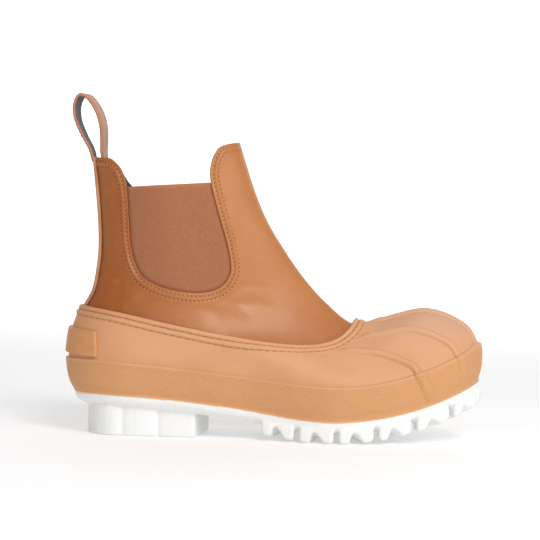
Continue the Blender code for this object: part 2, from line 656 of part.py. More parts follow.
# Edge lugs: blocks that stand out from the band and climb with the toe, each with a tunnel through its foot
fine = np.linspace(0.0, PI, 721)
lug_turn = np.linspace(0, 2 * PI, 12, endpoint=False) + PI / 12
lug_u = np.sign(np.cos(lug_turn)) * np.abs(np.cos(lug_turn)) ** 0.4
lug_w = np.sign(np.sin(lug_turn)) * np.abs(np.sin(lug_turn)) ** 0.4
tunnel_u, tunnel_z = np.array(TUNNEL_SECTION).T
for side, side_name in ((1.0, "outer"), (-1.0, "inner")):
    edge = sole_ring(side * fine, 0.0, 0.0)
    run = np.concatenate(([0.0], np.cumsum(np.linalg.norm(np.diff(edge[:, :2], axis=0), axis=1))))
    start = np.interp(LUG_FROM - BOOT_LENGTH / 2, edge[:, 0], run)
    for number, (share, lug_length, lug_depth) in enumerate(LUGS):
        middle = start + share * (run[-1] - start)
        spots = []
        for ahead in (-2 * MM, 0.0, 2 * MM):
            spots.append(np.array([np.interp(middle + ahead, run, edge[:, k]) for k in range(2)]))
        forward = (spots[2] - spots[0]) / np.linalg.norm(spots[2] - spots[0])
        inward = np.array([-forward[1], forward[0]]) * side
        stand_out = LUG_OUT + (LUG_TOE_OUT - LUG_OUT) * smooth((share - 0.3) / 0.6)
        at = spots[1] - inward * stand_out
        full_length = lug_length * MM
        full_depth = lug_depth * MM
        rings = []
        for rise, shrink in ((0.0, LUG_BEVEL), (LUG_BEVEL, 0.0), (SOLE_DEPTH - 4.5 * MM, 0.6 * MM)):
            depth = full_depth / 2 * (1.0 + lug_w)
            length = (full_length / 2 - shrink) * lug_u * (1.0 - (1.0 - LUG_INNER) * depth / full_depth)
            depth = shrink + depth * (1.0 - shrink / full_depth)
            spread = at + length[:, None] * forward + depth[:, None] * inward
            rings.append(np.column_stack([spread, ground(spread[:, 0]) + rise]))
        lug = stack(f"lug_{side_name}_{number}", rings, LUG_BLOCKS)
        rings = []
        for reach in (-2.0 * MM, full_depth + 1.0 * MM):
            inside = reach / full_depth
            crown = (TUNNEL_HIGH + (TUNNEL_LOW - TUNNEL_HIGH) * inside) * full_depth / (22.0 * MM)
            length = full_length * (TUNNEL_AT + tunnel_u * (1.0 - TUNNEL_NARROWS * inside))
            spread = at + length[:, None] * forward + reach * inward
            rings.append(np.column_stack([spread, ground(spread[:, 0]) + crown * tunnel_z]))
        boolean(lug, "DIFFERENCE", stack(f"tunnel_{side_name}_{number}", rings, CUTTERS))
boolean(outsole, "UNION", LUG_BLOCKS)
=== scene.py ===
"""Looks of a pull-on duck boot for the right foot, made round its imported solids. Metres, +X to the toe,
+Y to the inner side of the foot, +Z up, floor at z = 0. Sizes written in millimetres are multiplied by MM."""

import math

import bmesh
import bpy
import numpy as np
from mathutils import Matrix


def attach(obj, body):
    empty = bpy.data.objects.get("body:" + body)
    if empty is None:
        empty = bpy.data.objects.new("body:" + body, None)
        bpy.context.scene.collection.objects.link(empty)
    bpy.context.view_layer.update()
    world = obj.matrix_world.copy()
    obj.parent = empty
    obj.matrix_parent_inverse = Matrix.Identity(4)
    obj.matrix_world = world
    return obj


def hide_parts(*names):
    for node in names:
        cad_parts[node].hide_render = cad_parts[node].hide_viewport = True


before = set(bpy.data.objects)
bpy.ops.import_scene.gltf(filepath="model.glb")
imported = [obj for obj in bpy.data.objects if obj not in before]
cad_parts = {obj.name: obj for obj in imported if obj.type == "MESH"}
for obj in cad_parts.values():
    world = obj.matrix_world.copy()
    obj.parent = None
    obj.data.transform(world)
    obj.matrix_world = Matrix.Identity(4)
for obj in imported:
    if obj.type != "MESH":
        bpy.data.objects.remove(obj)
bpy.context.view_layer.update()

# Footbed: a board covered in dark grey cloth, glued down inside the boot. All pieces are drawn round one
# last, the foot-shaped form that a boot is pulled over, so its rings are set out here. Each ring runs from
# the heel's back (angle 0) by the outer side to the toe (angle pi), in mm from the heel's back and the floor.
MM = 0.001
PI = math.pi
BOOT_LENGTH = 294.8 * MM
HEEL_LINE_Y = -3.9 * MM
TOE_SWING = 8.0 * MM
SWING_FROM = 110.0 * MM
BALL_SKEW = 0.10
SKEW_FROM = 0.40
SKEW_TO = 0.75
SKEW_EASE = 0.25
HEEL_AT = 0.15
WAIST_AT = 0.42
BALL_AT = 0.70
FAN_SPREAD = 0.04
FAN_FOOT = 0.13
FAN_REACH = math.radians(107)
FAN_ROWS = 2.6
RING_COLUMNS = ("back_x", "back_z", "front_x", "front_z", "low_z", "low_at", "drop", "rise",
                "heel_w", "waist_w", "ball_w", "back_cap", "front_cap")
RINGS = (
    ("feather", 14.9, 28.0, 284.7, 42.5, 14.35, 108, 2.27, 1.06, 29.5, 31.0, 43.5, 0.17, 0.34),
    ("band_mid", 9.7, 39.8, 285.3, 54.6, 26.8, 110, 2.1, 1.0, 32.5, 34.5, 46.6, 0.17, 0.34),
    ("band_top", 7.9, 52.3, 283.8, 65.9, 38.2, 115, 1.8, 0.92, 33.2, 35.5, 46.8, 0.18, 0.355),
    ("toe_turn", 8.2, 61.0, 275.6, 77.7, 45.3, 118, 1.65, 0.95, 33.0, 35.5, 45.5, 0.19, 0.40),
    ("crown", 9.5, 70.0, 252.0, 85.9, 53.0, 121, 1.5, 0.95, 32.0, 35.0, 42.0, 0.21, 0.44),
    ("vamp", 12.2, 78.8, 222.0, 78.9, 58.8, 126, 1.42, 1.15, 30.8, 34.3, 37.5, 0.24, 0.42),
    ("rim", 16.2, 86.6, 202.0, 79.2, 63.1, 130, 1.4, 1.3, 29.6, 33.7, 33.4, 0.28, 0.36),
    ("ankle", 22.0, 98.0, 183.5, 93.0, 75.4, 126, 1.3, 1.2, 28.5, 32.0, 28.5, 0.33, 0.38),
    ("instep", 24.8, 112.0, 165.5, 112.5, 92.0, 120, 1.3, 1.1, 28.0, 31.0, 26.0, 0.38, 0.42),
    ("gore_low", 26.2, 130.0, 150.3, 134.0, 113.0, 115, 1.2, 1.0, 27.5, 30.0, 26.0, 0.42, 0.45),
    ("gore_mid", 25.2, 150.0, 140.7, 150.0, 136.0, 110, 1.2, 1.0, 27.0, 29.8, 26.5, 0.46, 0.48),
    ("gore_top", 23.2, 170.0, 132.0, 170.0, 163.0, 100, 1.2, 1.0, 27.0, 30.0, 27.5, 0.50, 0.50),
    ("collar", 20.8, 190.6, 120.6, 203.6, 197.0, 90, 1.0, 1.0, 28.0, 31.0, 28.0, 0.50, 0.50),
)
RING_VALUES = {
    name: np.array([ring[1 + place] for ring in RINGS], float) for place, name in enumerate(RING_COLUMNS)
}
ROW = {ring[0]: float(number) for number, ring in enumerate(RINGS)}
FEATHER = ROW["feather"]
BAND_TOP = ROW["band_top"]
RIM = ROW["rim"]
COLLAR = ROW["collar"]
FOOTBED_WALL = 5.0 * MM
FOOTBED_GAP = 0.5 * MM
FOOTBED_DISH = 1.6 * MM
FOOTBED_EDGE = 1.5 * MM
FOOTBED_EDGE_POWER = 14
FOOTBED_STEPS = 160
FOOTBED_ACROSS = 33


def smooth(q):
    """Eased step from 0 to 1 while q runs from 0 to 1: q squared times (3 - 2q)."""
    q = np.clip(q, 0.0, 1.0)
    return q * q * (3.0 - 2.0 * q)


def hill(q):
    """Soft hill of height 1 at q = 0: e to the minus q squared."""
    return np.exp(-np.square(q))


def round_cap(q):
    """Quarter circle from 0 to 1 while q runs from 0 to 1."""
    return np.sqrt(1.0 - (1.0 - np.clip(q, 0.0, 1.0)) ** 2)


def unit(vectors):
    """Vectors divided by their lengths."""
    return vectors / np.linalg.norm(vectors, axis=-1, keepdims=True)


def through(values, place):
    """Catmull-Rom curve through the values, read at fractional places."""
    first = np.clip(np.floor(place).astype(int), 0, len(values) - 2)
    f = place - first
    padded = np.concatenate(([2 * values[0] - values[1]], values, [2 * values[-1] - values[-2]]))
    a, b, c, d = (padded[first + ahead] for ahead in range(4))
    return 0.5 * (2 * b + (c - a) * f + (2 * a - 5 * b + 4 * c - d) * f**2 + (3 * b - a - 3 * c + d) * f**3)


def last_point(angle, row):
    """Point of the last: x and z from the ring's back, low and front places, y from its half width."""
    angle, row = np.broadcast_arrays(np.asarray(angle, float), np.asarray(row, float))
    ring = {name: through(values, row) for name, values in RING_VALUES.items()}
    wrapped = np.mod(angle, 2 * PI)
    side = np.where(wrapped < PI, -1.0, 1.0)
    fold = np.where(wrapped < PI, wrapped, 2 * PI - wrapped)
    wide = np.clip((PI - fold) / FAN_REACH, 0.0, 1.0)
    fan = FAN_SPREAD * smooth((row - BAND_TOP) / FAN_ROWS)
    fan = fan - FAN_FOOT * np.clip(1.0 - row / BAND_TOP, 0.0, 1.0)
    fold = fold - fan * wide * (1.0 - wide**2) * FAN_REACH
    along = (1.0 - np.cos(fold)) / 2.0
    x = (ring["back_x"] + (ring["front_x"] - ring["back_x"]) * along) * MM
    waist = smooth((along - HEEL_AT) / (WAIST_AT - HEEL_AT))
    ball = smooth((along - WAIST_AT) / (BALL_AT - WAIST_AT))
    half = ring["heel_w"] + (ring["waist_w"] - ring["heel_w"]) * waist
    half = half + (ring["ball_w"] - ring["waist_w"]) * ball
    half = half * round_cap(along / ring["back_cap"]) * round_cap((1.0 - along) / ring["front_cap"])
    y = side * half * MM
    low = np.radians(ring["low_at"])
    falling = smooth(np.clip(fold / low, 0.0, 1.0) ** ring["drop"])
    rising = smooth(np.clip((fold - low) / (PI - low), 0.0, 1.0) ** ring["rise"])
    z = ring["back_z"] + (ring["low_z"] - ring["back_z"]) * falling
    z = (z + (ring["front_z"] - ring["low_z"]) * rising) * MM
    skewed = smooth((along - SKEW_FROM) / SKEW_EASE) * (1.0 - smooth((along - SKEW_TO) / SKEW_EASE))
    x = x + BALL_SKEW * y * skewed
    y = y + HEEL_LINE_Y + TOE_SWING * smooth((x - SWING_FROM) / (BOOT_LENGTH - SWING_FROM))
    return np.stack([x - BOOT_LENGTH / 2, y, z], axis=-1)


def skin(angle, row, offset):
    """Point this far outside the last, along its normal, which is laid level at the feather edge."""
    turn = 1e-4
    step = 1e-3
    angle, row, offset = np.broadcast_arrays(angle, np.asarray(row, float), offset)
    along = last_point(angle + turn, row) - last_point(angle - turn, row)
    up = last_point(angle, row + step) - last_point(angle, row - step)
    normal = np.cross(along, up)
    normal[..., 2] *= smooth(row)
    return last_point(angle, row) + unit(normal) * offset[..., None]


def grid_quads(grid):
    """Corner numbers of a grid's quads, one row of four for each quad."""
    rows, columns = grid.shape[:2]
    number = np.arange(rows * columns).reshape(rows, columns)
    corners = [number[:-1, :-1], number[:-1, 1:], number[1:, 1:], number[1:, :-1]]
    return np.stack(corners, axis=-1).reshape(-1, 4)


def make_piece(name, points, quads, finish, uv=None, marks=None):
    """Object from points and quads: doubles merged, faces turned out, shaded smooth. uv and marks are given
    for each point; uv goes to the corners, so a seam keeps both its values."""
    points = np.asarray(points, float).reshape(-1, 3)
    mesh = bpy.data.meshes.new(name)
    mesh.vertices.add(len(points))
    mesh.vertices.foreach_set("co", points.ravel())
    mesh.loops.add(quads.size)
    mesh.loops.foreach_set("vertex_index", quads.ravel().astype(np.int32))
    mesh.polygons.add(len(quads))
    mesh.polygons.foreach_set("loop_start", np.arange(0, quads.size, 4, dtype=np.int32))
    mesh.update(calc_edges=True)
    if uv is not None:
        layer = mesh.uv_layers.new(name="lay")
        layer.data.foreach_set("uv", uv.reshape(-1, 2)[quads.ravel()].ravel())
    for mark, values in (marks or {}).items():
        attribute = mesh.attributes.new(mark, "FLOAT", "POINT")
        attribute.data.foreach_set("value", np.asarray(values, float).ravel())
    work = bmesh.new()
    work.from_mesh(mesh)
    bmesh.ops.remove_doubles(work, verts=work.verts, dist=2e-6)
    bmesh.ops.recalc_face_normals(work, faces=work.faces)
    work.to_mesh(mesh)
    work.free()
    mesh.shade_smooth()
    mesh.materials.append(finish.material)
    made = bpy.data.objects.new(name, mesh)
    bpy.context.scene.collection.objects.link(made)
    return made


class Amount:
    """Socket of a finish that works in Python sums; each operator adds a Math node."""

    def __init__(self, finish, socket):
        self.finish = finish
        self.socket = socket

    def maths(self, operation, *terms):
        """Math node on the terms, with self first."""
        return self.finish.node("ShaderNodeMath", {"operation": operation}, enumerate((self, *terms)))

    def __add__(self, other):
        return self.maths("ADD", other)

    def __sub__(self, other):
        return self.maths("SUBTRACT", other)

    def __rsub__(self, other):
        return self.finish.node("ShaderNodeMath", {"operation": "SUBTRACT"}, enumerate((other, self)))

    def __mul__(self, other):
        return self.maths("MULTIPLY", other)

    def __truediv__(self, other):
        return self.maths("DIVIDE", other)

    __radd__ = __add__
    __rmul__ = __mul__

    def step(self, low, high):
        """Eased step from 0 at low to 1 at high."""
        sockets = {"Value": self, "From Min": low, "From Max": high}
        return self.finish.node("ShaderNodeMapRange", {"interpolation_type": "SMOOTHSTEP"}, sockets)

    def wave(self, pitch):
        """Sine wave between 0 and 1 that repeats at this pitch."""
        return 0.5 + 0.5 * (self * (2 * PI / pitch)).maths("SINE")


class Finish:
    """Material with one Principled shader; what is the same all over is set on its sockets at once."""

    def __init__(self, name, **even):
        self.material = bpy.data.materials.new(name)
        self.material.use_nodes = True
        self.tree = self.material.node_tree
        self.shader = self.tree.nodes["Principled BSDF"]
        self.paint(**even)

    def node(self, kind, settings=(), sockets=(), out=0):
        """Any node: its type, its settings, which are set first, and the values or links of its sockets."""
        made = self.tree.nodes.new(kind)
        for key, value in dict(settings).items():
            setattr(made, key, value)
        for key, value in dict(sockets).items():
            self.feed(made.inputs[key], value)
        return Amount(self, made.outputs[out])

    def feed(self, socket, value):
        """Link or value into one socket."""
        if isinstance(value, Amount):
            self.tree.links.new(value.socket, socket)
        else:
            socket.default_value = value

    def place(self):
        """Place in the boot, in metres."""
        return self.node("ShaderNodeTexCoord", out="Object")

    def axis(self, letter, vector=None):
        """One coordinate of a vector, or of the place in the boot."""
        return self.node("ShaderNodeSeparateXYZ", {}, {"Vector": vector or self.place()}, out=letter)

    def mark(self, name):
        """Number kept on the piece's own points."""
        return self.node("ShaderNodeAttribute", {"attribute_name": name}, out="Fac")

    def noise(self, size, detail=2.0):
        """Soft noise from 0 to 1 whose lumps are about this size in metres."""
        sockets = {"Vector": self.place(), "Scale": 1.0 / size, "Detail": detail}
        return self.node("ShaderNodeTexNoise", {}, sockets)

    def mix(self, first, second, share):
        """Colour between two, by the share of the second."""
        return self.node("ShaderNodeMix", {"data_type": "RGBA"}, {0: share, 6: first, 7: second}, out=2)

    def bump(self, height, distance):
        """Normal of a relief whose height runs from 0 to 1 over this distance."""
        return self.node("ShaderNodeBump", {}, {"Height": height, "Distance": distance, "Strength": 1.0})

    def paint(self, **sockets):
        """Values or links into the shader's own sockets."""
        for socket, value in sockets.items():
            self.feed(self.shader.inputs[socket.replace("_", " ")], value)


def tone(red, green, blue):
    """Linear colour of a colour given as a screen shows it, 0 to 255."""
    return tuple(((c / 255 + 0.055) / 1.055) ** 2.4 for c in (red, green, blue)) + (1.0,)


def cross_grid(edge, section):
    """Grid of a flat form: edge holds its outline from back to front by one side and home by the other,
    section holds (across from -1 to 1, lift) pairs. Point = middle + across * half width + lift * up."""
    half = len(edge) // 2
    near = edge[: half + 1]
    far = np.concatenate([edge[:1], edge[: half - 1 : -1]])
    across, lift = np.array(section).T
    grid = 0.5 * (near + far)[:, None] + 0.5 * (far - near)[:, None] * across[None, :, None]
    grid[..., 2] += lift
    return grid


footbed_turn = np.linspace(0.0, 2 * PI, FOOTBED_STEPS + 1)[:-1]
footbed_edge = skin(footbed_turn, FEATHER, -FOOTBED_GAP)
footbed_across = np.sin(np.linspace(-PI / 2, PI / 2, FOOTBED_ACROSS))
footbed_top = FOOTBED_WALL - FOOTBED_DISH * (1.0 - footbed_across**2)
footbed_top = footbed_top - FOOTBED_EDGE * np.abs(footbed_across) ** FOOTBED_EDGE_POWER
footbed_section = list(zip(footbed_across, footbed_top))
footbed_section += [(across, 0.0) for across in footbed_across[::-1]] + footbed_section[:1]
footbed_grid = cross_grid(footbed_edge, footbed_section)
lining_cloth = Finish("lining_cloth", Roughness=0.9, Sheen_Weight=0.3)
lining_weave = lining_cloth.noise(0.9 * MM, 3.0)
lining_cloth.paint(
    Base_Color=lining_cloth.mix(tone(52, 50, 50), tone(84, 82, 82), lining_weave),
    Normal=lining_cloth.bump(lining_weave, 0.3 * MM),
)
footbed = make_piece("footbed", footbed_grid, grid_quads(footbed_grid), lining_cloth)
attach(footbed, "root")
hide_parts("insole")

# Leather upper: one hollow wall of smooth semi-gloss cowhide, pulled over the last and lapped inside the
# shell. Its top edge is folded over, runs down round each gore notch and is sewn with two rows over a padded
# roll. The notch edge is drawn in side view, back tab first, in mm from the heel's back and the floor.
NOTCH = (
    (30.2, 190.0), (36.2, 187.2), (40.7, 182.2), (43.6, 175.6), (45.5, 167.2),
    (47.0, 150.0), (48.6, 132.5), (52.0, 119.0), (59.5, 108.2), (75.0, 101.6),
    (95.0, 99.0), (109.0, 101.8), (116.4, 109.0), (118.2, 118.0), (115.0, 134.0),
    (108.2, 156.5), (103.6, 173.5), (102.8, 185.0), (105.8, 195.0), (111.7, 200.7),
)
INNER_TAB_SHIFT = ((-4.0, -1.5), (-4.0, -1.5), (-4.0, -1.5), (-3.0, -1.0))
BACK_TAB_ROW = COLLAR
FRONT_TAB_ROW = COLLAR - 0.02
NOTCH_CORNERS = ((55.0, 112.5), (117.0, 109.5))
LAP_ROW = RIM - 0.9
EDGE_FINE = 1600
EDGE_COLUMNS = 341
LEATHER_INSIDE = -1.25 * MM
EDGE_RADIUS = 0.8 * MM
EDGE_SINK = 0.35 * MM
BAND_RISE = 0.3 * MM
BAND_WIDTH = 6.4 * MM
BAND_EASE = 3.0 * MM
ROLL_RISE = 0.95 * MM
ROLL_AT = 3.95 * MM
ROLL_HALF = 1.3 * MM
FRONT_FADE = 0.35
STITCH_ROWS = (2.2 * MM, 5.7 * MM)
STITCH_SINK = 0.3 * MM
STITCH_GROOVE = 0.55 * MM
STITCH_ROOM = 0.8 * MM
CALM_WIDTH = 6.0 * MM
NEAR_STEPS = np.concatenate([[0.0, 0.1, 0.3, 0.55], np.arange(0.8, 7.6, 0.3), [8.1, 8.9, 10.1, 11.8]]) * MM
FAR_STEPS = 30
INSIDE_NEAR = NEAR_STEPS[[0, 8]]
INSIDE_FAR = 12
COLUMN_SAMPLES = 25
SHORTEST_COLUMN = 1.6
FIT_GRID = (48, 36)
FIT_MARGIN = 0.03
FIT_ROUNDS = 14
# Finely wrinkled patch beside the gore's lower corner: its middle and its reach in x and in z
PATCH_X = -19.0 * MM
PATCH_Z = 93.0 * MM
PATCH_REACH_X = 14.0 * MM
PATCH_REACH_Z = 13.0 * MM
# Creases: start and end in side view, width, and how far it stands out, in millimetres
CREASES = (
    (122.0, 106.5, 138.0, 109.0, 2.4, 0.16),
    (122.0, 102.6, 143.0, 104.4, 2.0, -0.18),
    (121.0, 97.0, 134.0, 99.2, 3.0, 0.3),
    (124.0, 92.0, 144.0, 91.0, 3.6, -0.2),
    (110.0, 91.5, 126.0, 88.0, 4.5, 0.35),
    (62.0, 94.5, 104.0, 89.0, 6.5, -0.7),
    (36.0, 120.0, 40.0, 98.0, 6.0, -0.6),
    (30.0, 104.0, 50.0, 97.0, 4.0, 0.4),
    (152.0, 107.0, 172.0, 90.0, 8.0, -0.4),
)
CREASE_BEND = 0.01
CREASE_FADE = 1.6


def lengths(line):
    """Length run along a line of points, from 0 at its start."""
    steps = np.linalg.norm(np.diff(line, axis=0), axis=-1)
    return np.concatenate([np.zeros_like(steps[:1]), np.cumsum(steps, axis=0)])


def place_on_side(x, z, side):
    """Angle and row where one side of the last (1 outer, -1 inner) passes through x and z in side view: the
    nearest point of a coarse grid, then damped least-squares steps."""
    shape = np.broadcast(x, z).shape
    target = np.stack(np.broadcast_arrays(x, z), axis=-1).reshape(-1, 2)
    angle = np.linspace(FIT_MARGIN, PI - FIT_MARGIN, FIT_GRID[0])
    angle, row = np.meshgrid(angle, np.linspace(RIM - 1.0, COLLAR, FIT_GRID[1]))
    coarse = last_point(side * angle, row)[..., (0, 2)].reshape(-1, 2)
    nearest = np.argmin(((target[:, None] - coarse[None]) ** 2).sum(axis=-1), axis=1)
    angle = angle.ravel()[nearest]
    row = row.ravel()[nearest]
    step = 1e-4
    damping = 1e-9
    for _ in range(FIT_ROUNDS):
        here = last_point(side * angle, row)[:, (0, 2)]
        by_angle = (last_point(side * (angle + step), row)[:, (0, 2)] - here) / step
        by_row = (last_point(side * angle, row + step)[:, (0, 2)] - here) / step
        miss = target - here
        aa = (by_angle**2).sum(axis=1) + damping
        rr = (by_row**2).sum(axis=1) + damping
        ar = (by_angle * by_row).sum(axis=1)
        am = (by_angle * miss).sum(axis=1)
        rm = (by_row * miss).sum(axis=1)
        scale = aa * rr - ar**2
        angle = np.clip(angle + (am * rr - rm * ar) / scale, 0.0, PI)
        row = row + (rm * aa - am * ar) / scale
    return angle.reshape(shape), row.reshape(shape)


def notch_edge(side):
    """Angle and row at even steps along the leather's top edge, from the back line by the notch to the front:
    a curve through the drawn points, read at even lengths."""
    drawn = np.array(NOTCH) * MM
    if side < 0:
        drawn[:len(INNER_TAB_SHIFT)] += np.array(INNER_TAB_SHIFT) * MM
    angle, row = place_on_side(drawn[:, 0] - BOOT_LENGTH / 2, drawn[:, 1], side)
    angle = np.concatenate([[0.0], angle, [PI]])
    row = np.concatenate([[BACK_TAB_ROW], row, [FRONT_TAB_ROW]])
    fine = np.linspace(0, len(angle) - 1, EDGE_FINE)
    angle = np.clip(through(angle, fine), 0.0, PI)
    row = through(row, fine)
    run = lengths(last_point(side * angle, row))
    even = np.linspace(0.0, run[-1], EDGE_COLUMNS)
    return np.interp(even, run, angle), np.interp(even, run, row)


def panel_places(side, near, far_count, start=0.0):
    """Angles and rows of a panel grid. Each column is a straight line in angle and row from the notch edge
    out to the back line, the lap or the front line; near gives its first steps, the rest are even."""
    edge_angle, edge_row = notch_edge(side)
    edge_line = last_point(side * edge_angle, edge_row)
    corners = np.array(NOTCH_CORNERS) * MM - np.array([BOOT_LENGTH / 2, 0.0])
    back, front = [int(np.argmin(((edge_line[:, (0, 2)] - spot) ** 2).sum(axis=1))) for spot in corners]
    column = np.arange(EDGE_COLUMNS)
    across = np.clip((column - back) / (front - back), 0.0, 1.0)
    down = np.clip(column / back, 0.0, 1.0)
    up = np.clip((column - front) / (EDGE_COLUMNS - 1 - front), 0.0, 1.0)
    falling = BACK_TAB_ROW + (LAP_ROW - BACK_TAB_ROW) * down
    rising = LAP_ROW + (FRONT_TAB_ROW - LAP_ROW) * up
    angle_out = PI * across - edge_angle
    row_out = np.where(column < front, falling, rising) - edge_row
    share = np.linspace(0.0, 1.0, COLUMN_SAMPLES)[:, None]
    lines = last_point(side * (edge_angle + share * angle_out), edge_row + share * row_out)
    close = (start + near)[:, None] / np.maximum(lengths(lines)[-1], SHORTEST_COLUMN * near[-1])
    rest = np.linspace(0.0, 1.0, far_count + 1)[1:, None]
    share = np.concatenate([close, close[-1] + (1.0 - close[-1]) * rest])
    return edge_angle + share * angle_out, edge_row + share * row_out, edge_line, (back, front)


def closed_panel(inside, outside, corner):
    """Points and quads of a panel: two faces that meet at the notch edge and are joined along the lap."""
    grid = np.concatenate([inside[::-1], outside])
    foot = np.arange(*corner)
    top = (grid.shape[0] - 1) * EDGE_COLUMNS + foot
    lap = np.stack([foot, foot + 1, top + 1, top], axis=-1)
    return grid.reshape(-1, 3), np.concatenate([grid_quads(grid), lap])


def joined(parts):
    """One set of points and quads from several."""
    starts = np.cumsum([0] + [len(points) for points, _ in parts[:-1]])
    points = np.concatenate([points for points, _ in parts])
    return points, np.concatenate([quads + start for (_, quads), start in zip(parts, starts)])


def distance_to(points, line):
    """Shortest distance from each point of a grid to the points of a line, one grid row at a time."""
    return np.stack([np.linalg.norm(row[:, None] - line[None], axis=-1).min(axis=1) for row in points])


def crease_lift(points):
    """Sum of soft ridges and troughs: depth * hill(distance from the line / width), faded at its ends."""
    x = (points[..., 0] + BOOT_LENGTH / 2) / MM
    z = points[..., 2] / MM
    lift = np.zeros(x.shape)
    for x0, z0, x1, z1, width, depth in CREASES:
        run = math.hypot(x1 - x0, z1 - z0)
        along = ((x - x0) * (x1 - x0) + (z - z0) * (z1 - z0)) / run
        aside = ((z - z0) * (x1 - x0) - (x - x0) * (z1 - z0)) / run
        beyond = np.maximum(np.maximum(-along, along - run), 0.0)
        bend = aside + CREASE_BEND * along * (along - run)
        lift += depth * MM * hill(bend / width) * hill(beyond / (CREASE_FADE * width))
    return lift


def leather_lift(away, points, angle):
    """Height of the leather over the last: folded edge, sewn band with its padded roll, stitch rows and
    creases. The band runs out toward the front line, where the two halves of the tab meet."""
    band = BAND_RISE * (1.0 - smooth((away - BAND_WIDTH) / BAND_EASE))
    roll = ROLL_RISE * hill((away - ROLL_AT) / ROLL_HALF)
    sink = sum(STITCH_SINK * hill((away - at) / STITCH_GROOVE) for at in STITCH_ROWS)
    sewn = (band + roll - sink) * smooth((PI - np.abs(angle)) / FRONT_FADE)
    calm = smooth((away - BAND_WIDTH) / CALM_WIDTH)
    turned = round_cap(away / EDGE_RADIUS)
    return (sewn + calm * crease_lift(points)) * turned - EDGE_SINK * (1.0 - turned)


leather_panels = []
seam_lines = []
for side in (1, -1):
    angle, row, edge_line, corner = panel_places(side, NEAR_STEPS, FAR_STEPS)
    on_last = last_point(side * angle, row)
    away = distance_to(on_last, edge_line)
    outside = skin(side * angle, row, leather_lift(away, on_last, angle))
    inner_angle, inner_row, _, _ = panel_places(side, INSIDE_NEAR, INSIDE_FAR)
    inside = skin(side * inner_angle, inner_row, LEATHER_INSIDE)
    leather_panels.append(closed_panel(inside, outside, corner))
    column = np.arange(EDGE_COLUMNS)
    for at in STITCH_ROWS:
        reached = away.max(axis=0) > at + STITCH_ROOM
        level = np.argmax(away > at, axis=0)
        below = np.maximum(level - 1, 0)
        gap = np.maximum(away[level, column] - away[below, column], 1e-9)
        part = (at - away[below, column]) / gap
        line_angle = angle[below, column] + part * (angle[level, column] - angle[below, column])
        line_row = row[below, column] + part * (row[level, column] - row[below, column])
        seam_lines.append((side * line_angle[reached], line_row[reached], at))
tan_leather = Finish("tan_leather", Specular_IOR_Level=0.36, Coat_Roughness=0.22, Coat_IOR=1.4)
pebble = {"Vector": tan_leather.place(), "Scale": 1.0 / (0.9 * MM)}
grain = tan_leather.node("ShaderNodeTexVoronoi", {"feature": "SMOOTH_F1"}, pebble)
cloud = tan_leather.noise(34 * MM, 3.0)
mottle = tan_leather.noise(5 * MM, 3.0)
hide_x = tan_leather.axis("X")
hide_z = tan_leather.axis("Z")
# Painted shade: the leather's colour darkens toward the back quarter, which faces away from the light.
painted_back_shade = 1.0 - hide_x.step(-0.11, -0.04)
# Painted shade: the leather's colour darkens low at the front of the vamp.
painted_foot_shade = hide_x.step(-0.03, 0.01) * (1.0 - hide_z.step(0.075, 0.1))
hide = tan_leather.mix(tone(186, 122, 72), tone(180, 114, 64), cloud.step(0.3, 0.75))
hide = tan_leather.mix(hide, tone(158, 82, 24), painted_back_shade * 0.78)
hide = tan_leather.mix(hide, tone(166, 94, 44), painted_foot_shade * 0.35)
patch_x = (hide_x - PATCH_X) / PATCH_REACH_X
patch_z = (hide_z - PATCH_Z) / PATCH_REACH_Z
patch = (1.0 - patch_x * patch_x - patch_z * patch_z).step(0.0, 0.9)
wrinkle = tan_leather.noise(2.6 * MM) * patch
tan_leather.paint(
    Base_Color=tan_leather.mix(hide, tone(200, 134, 82), mottle.step(0.45, 0.8) * 0.15),
    Roughness=0.36 + 0.08 * mottle,
    Coat_Weight=0.05 + 0.06 * cloud + 0.22 * patch,
    Normal=tan_leather.bump(grain + 0.6 * mottle + 7.0 * wrinkle, 0.05 * MM),
)
leather_upper = make_piece("leather_upper", *joined(leather_panels), tan_leather)
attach(leather_upper, "root")
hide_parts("leather_upper")

# Upper lining: dark grey cloth bonded inside the leather, cut back a little from its folded edge.
# It is a thin closed layer between the leather's inner face and the foot.
LINING_FROM = 0.3 * MM
LINING_STEPS = np.array([0.0, 0.3, 2.0, 6.0]) * MM
LINING_FAR = 14
LINING_OUTSIDE = -1.3 * MM
LINING_INSIDE = -2.0 * MM
lining_panels = []
for side in (1, -1):
    angle, row, _, corner = panel_places(side, LINING_STEPS, LINING_FAR, LINING_FROM)
    faces = [skin(side * angle, row, face) for face in (LINING_INSIDE, LINING_OUTSIDE)]
    lining_panels.append(closed_panel(*faces, corner))
upper_lining = make_piece("upper_lining", *joined(lining_panels), lining_cloth)
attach(upper_lining, "root")

# Seam stitching: bonded tan thread in two rows round each gore, pulled a little into the leather. Between
# each two stitches sits a small dark bead, painted shade in place of the needle hole. Threads and hole shades
# are one joined mesh each.
STITCH_PITCH = 2.9 * MM
STITCH = {"length": 1.8 * MM, "width": 0.6 * MM, "rise": 0.25 * MM}
HOLE_SHADE = {"length": 1.35 * MM, "width": 0.85 * MM, "rise": 0.16 * MM}
BEAD_PLACES = np.array([-1.0, -0.8, 0.0, 0.8, 1.0])
BEAD_SIDES = 6


def along_line(at, run, line):
    """Points of a line at these lengths along it."""
    return np.stack([np.interp(at, run, column) for column in line.T], axis=-1)


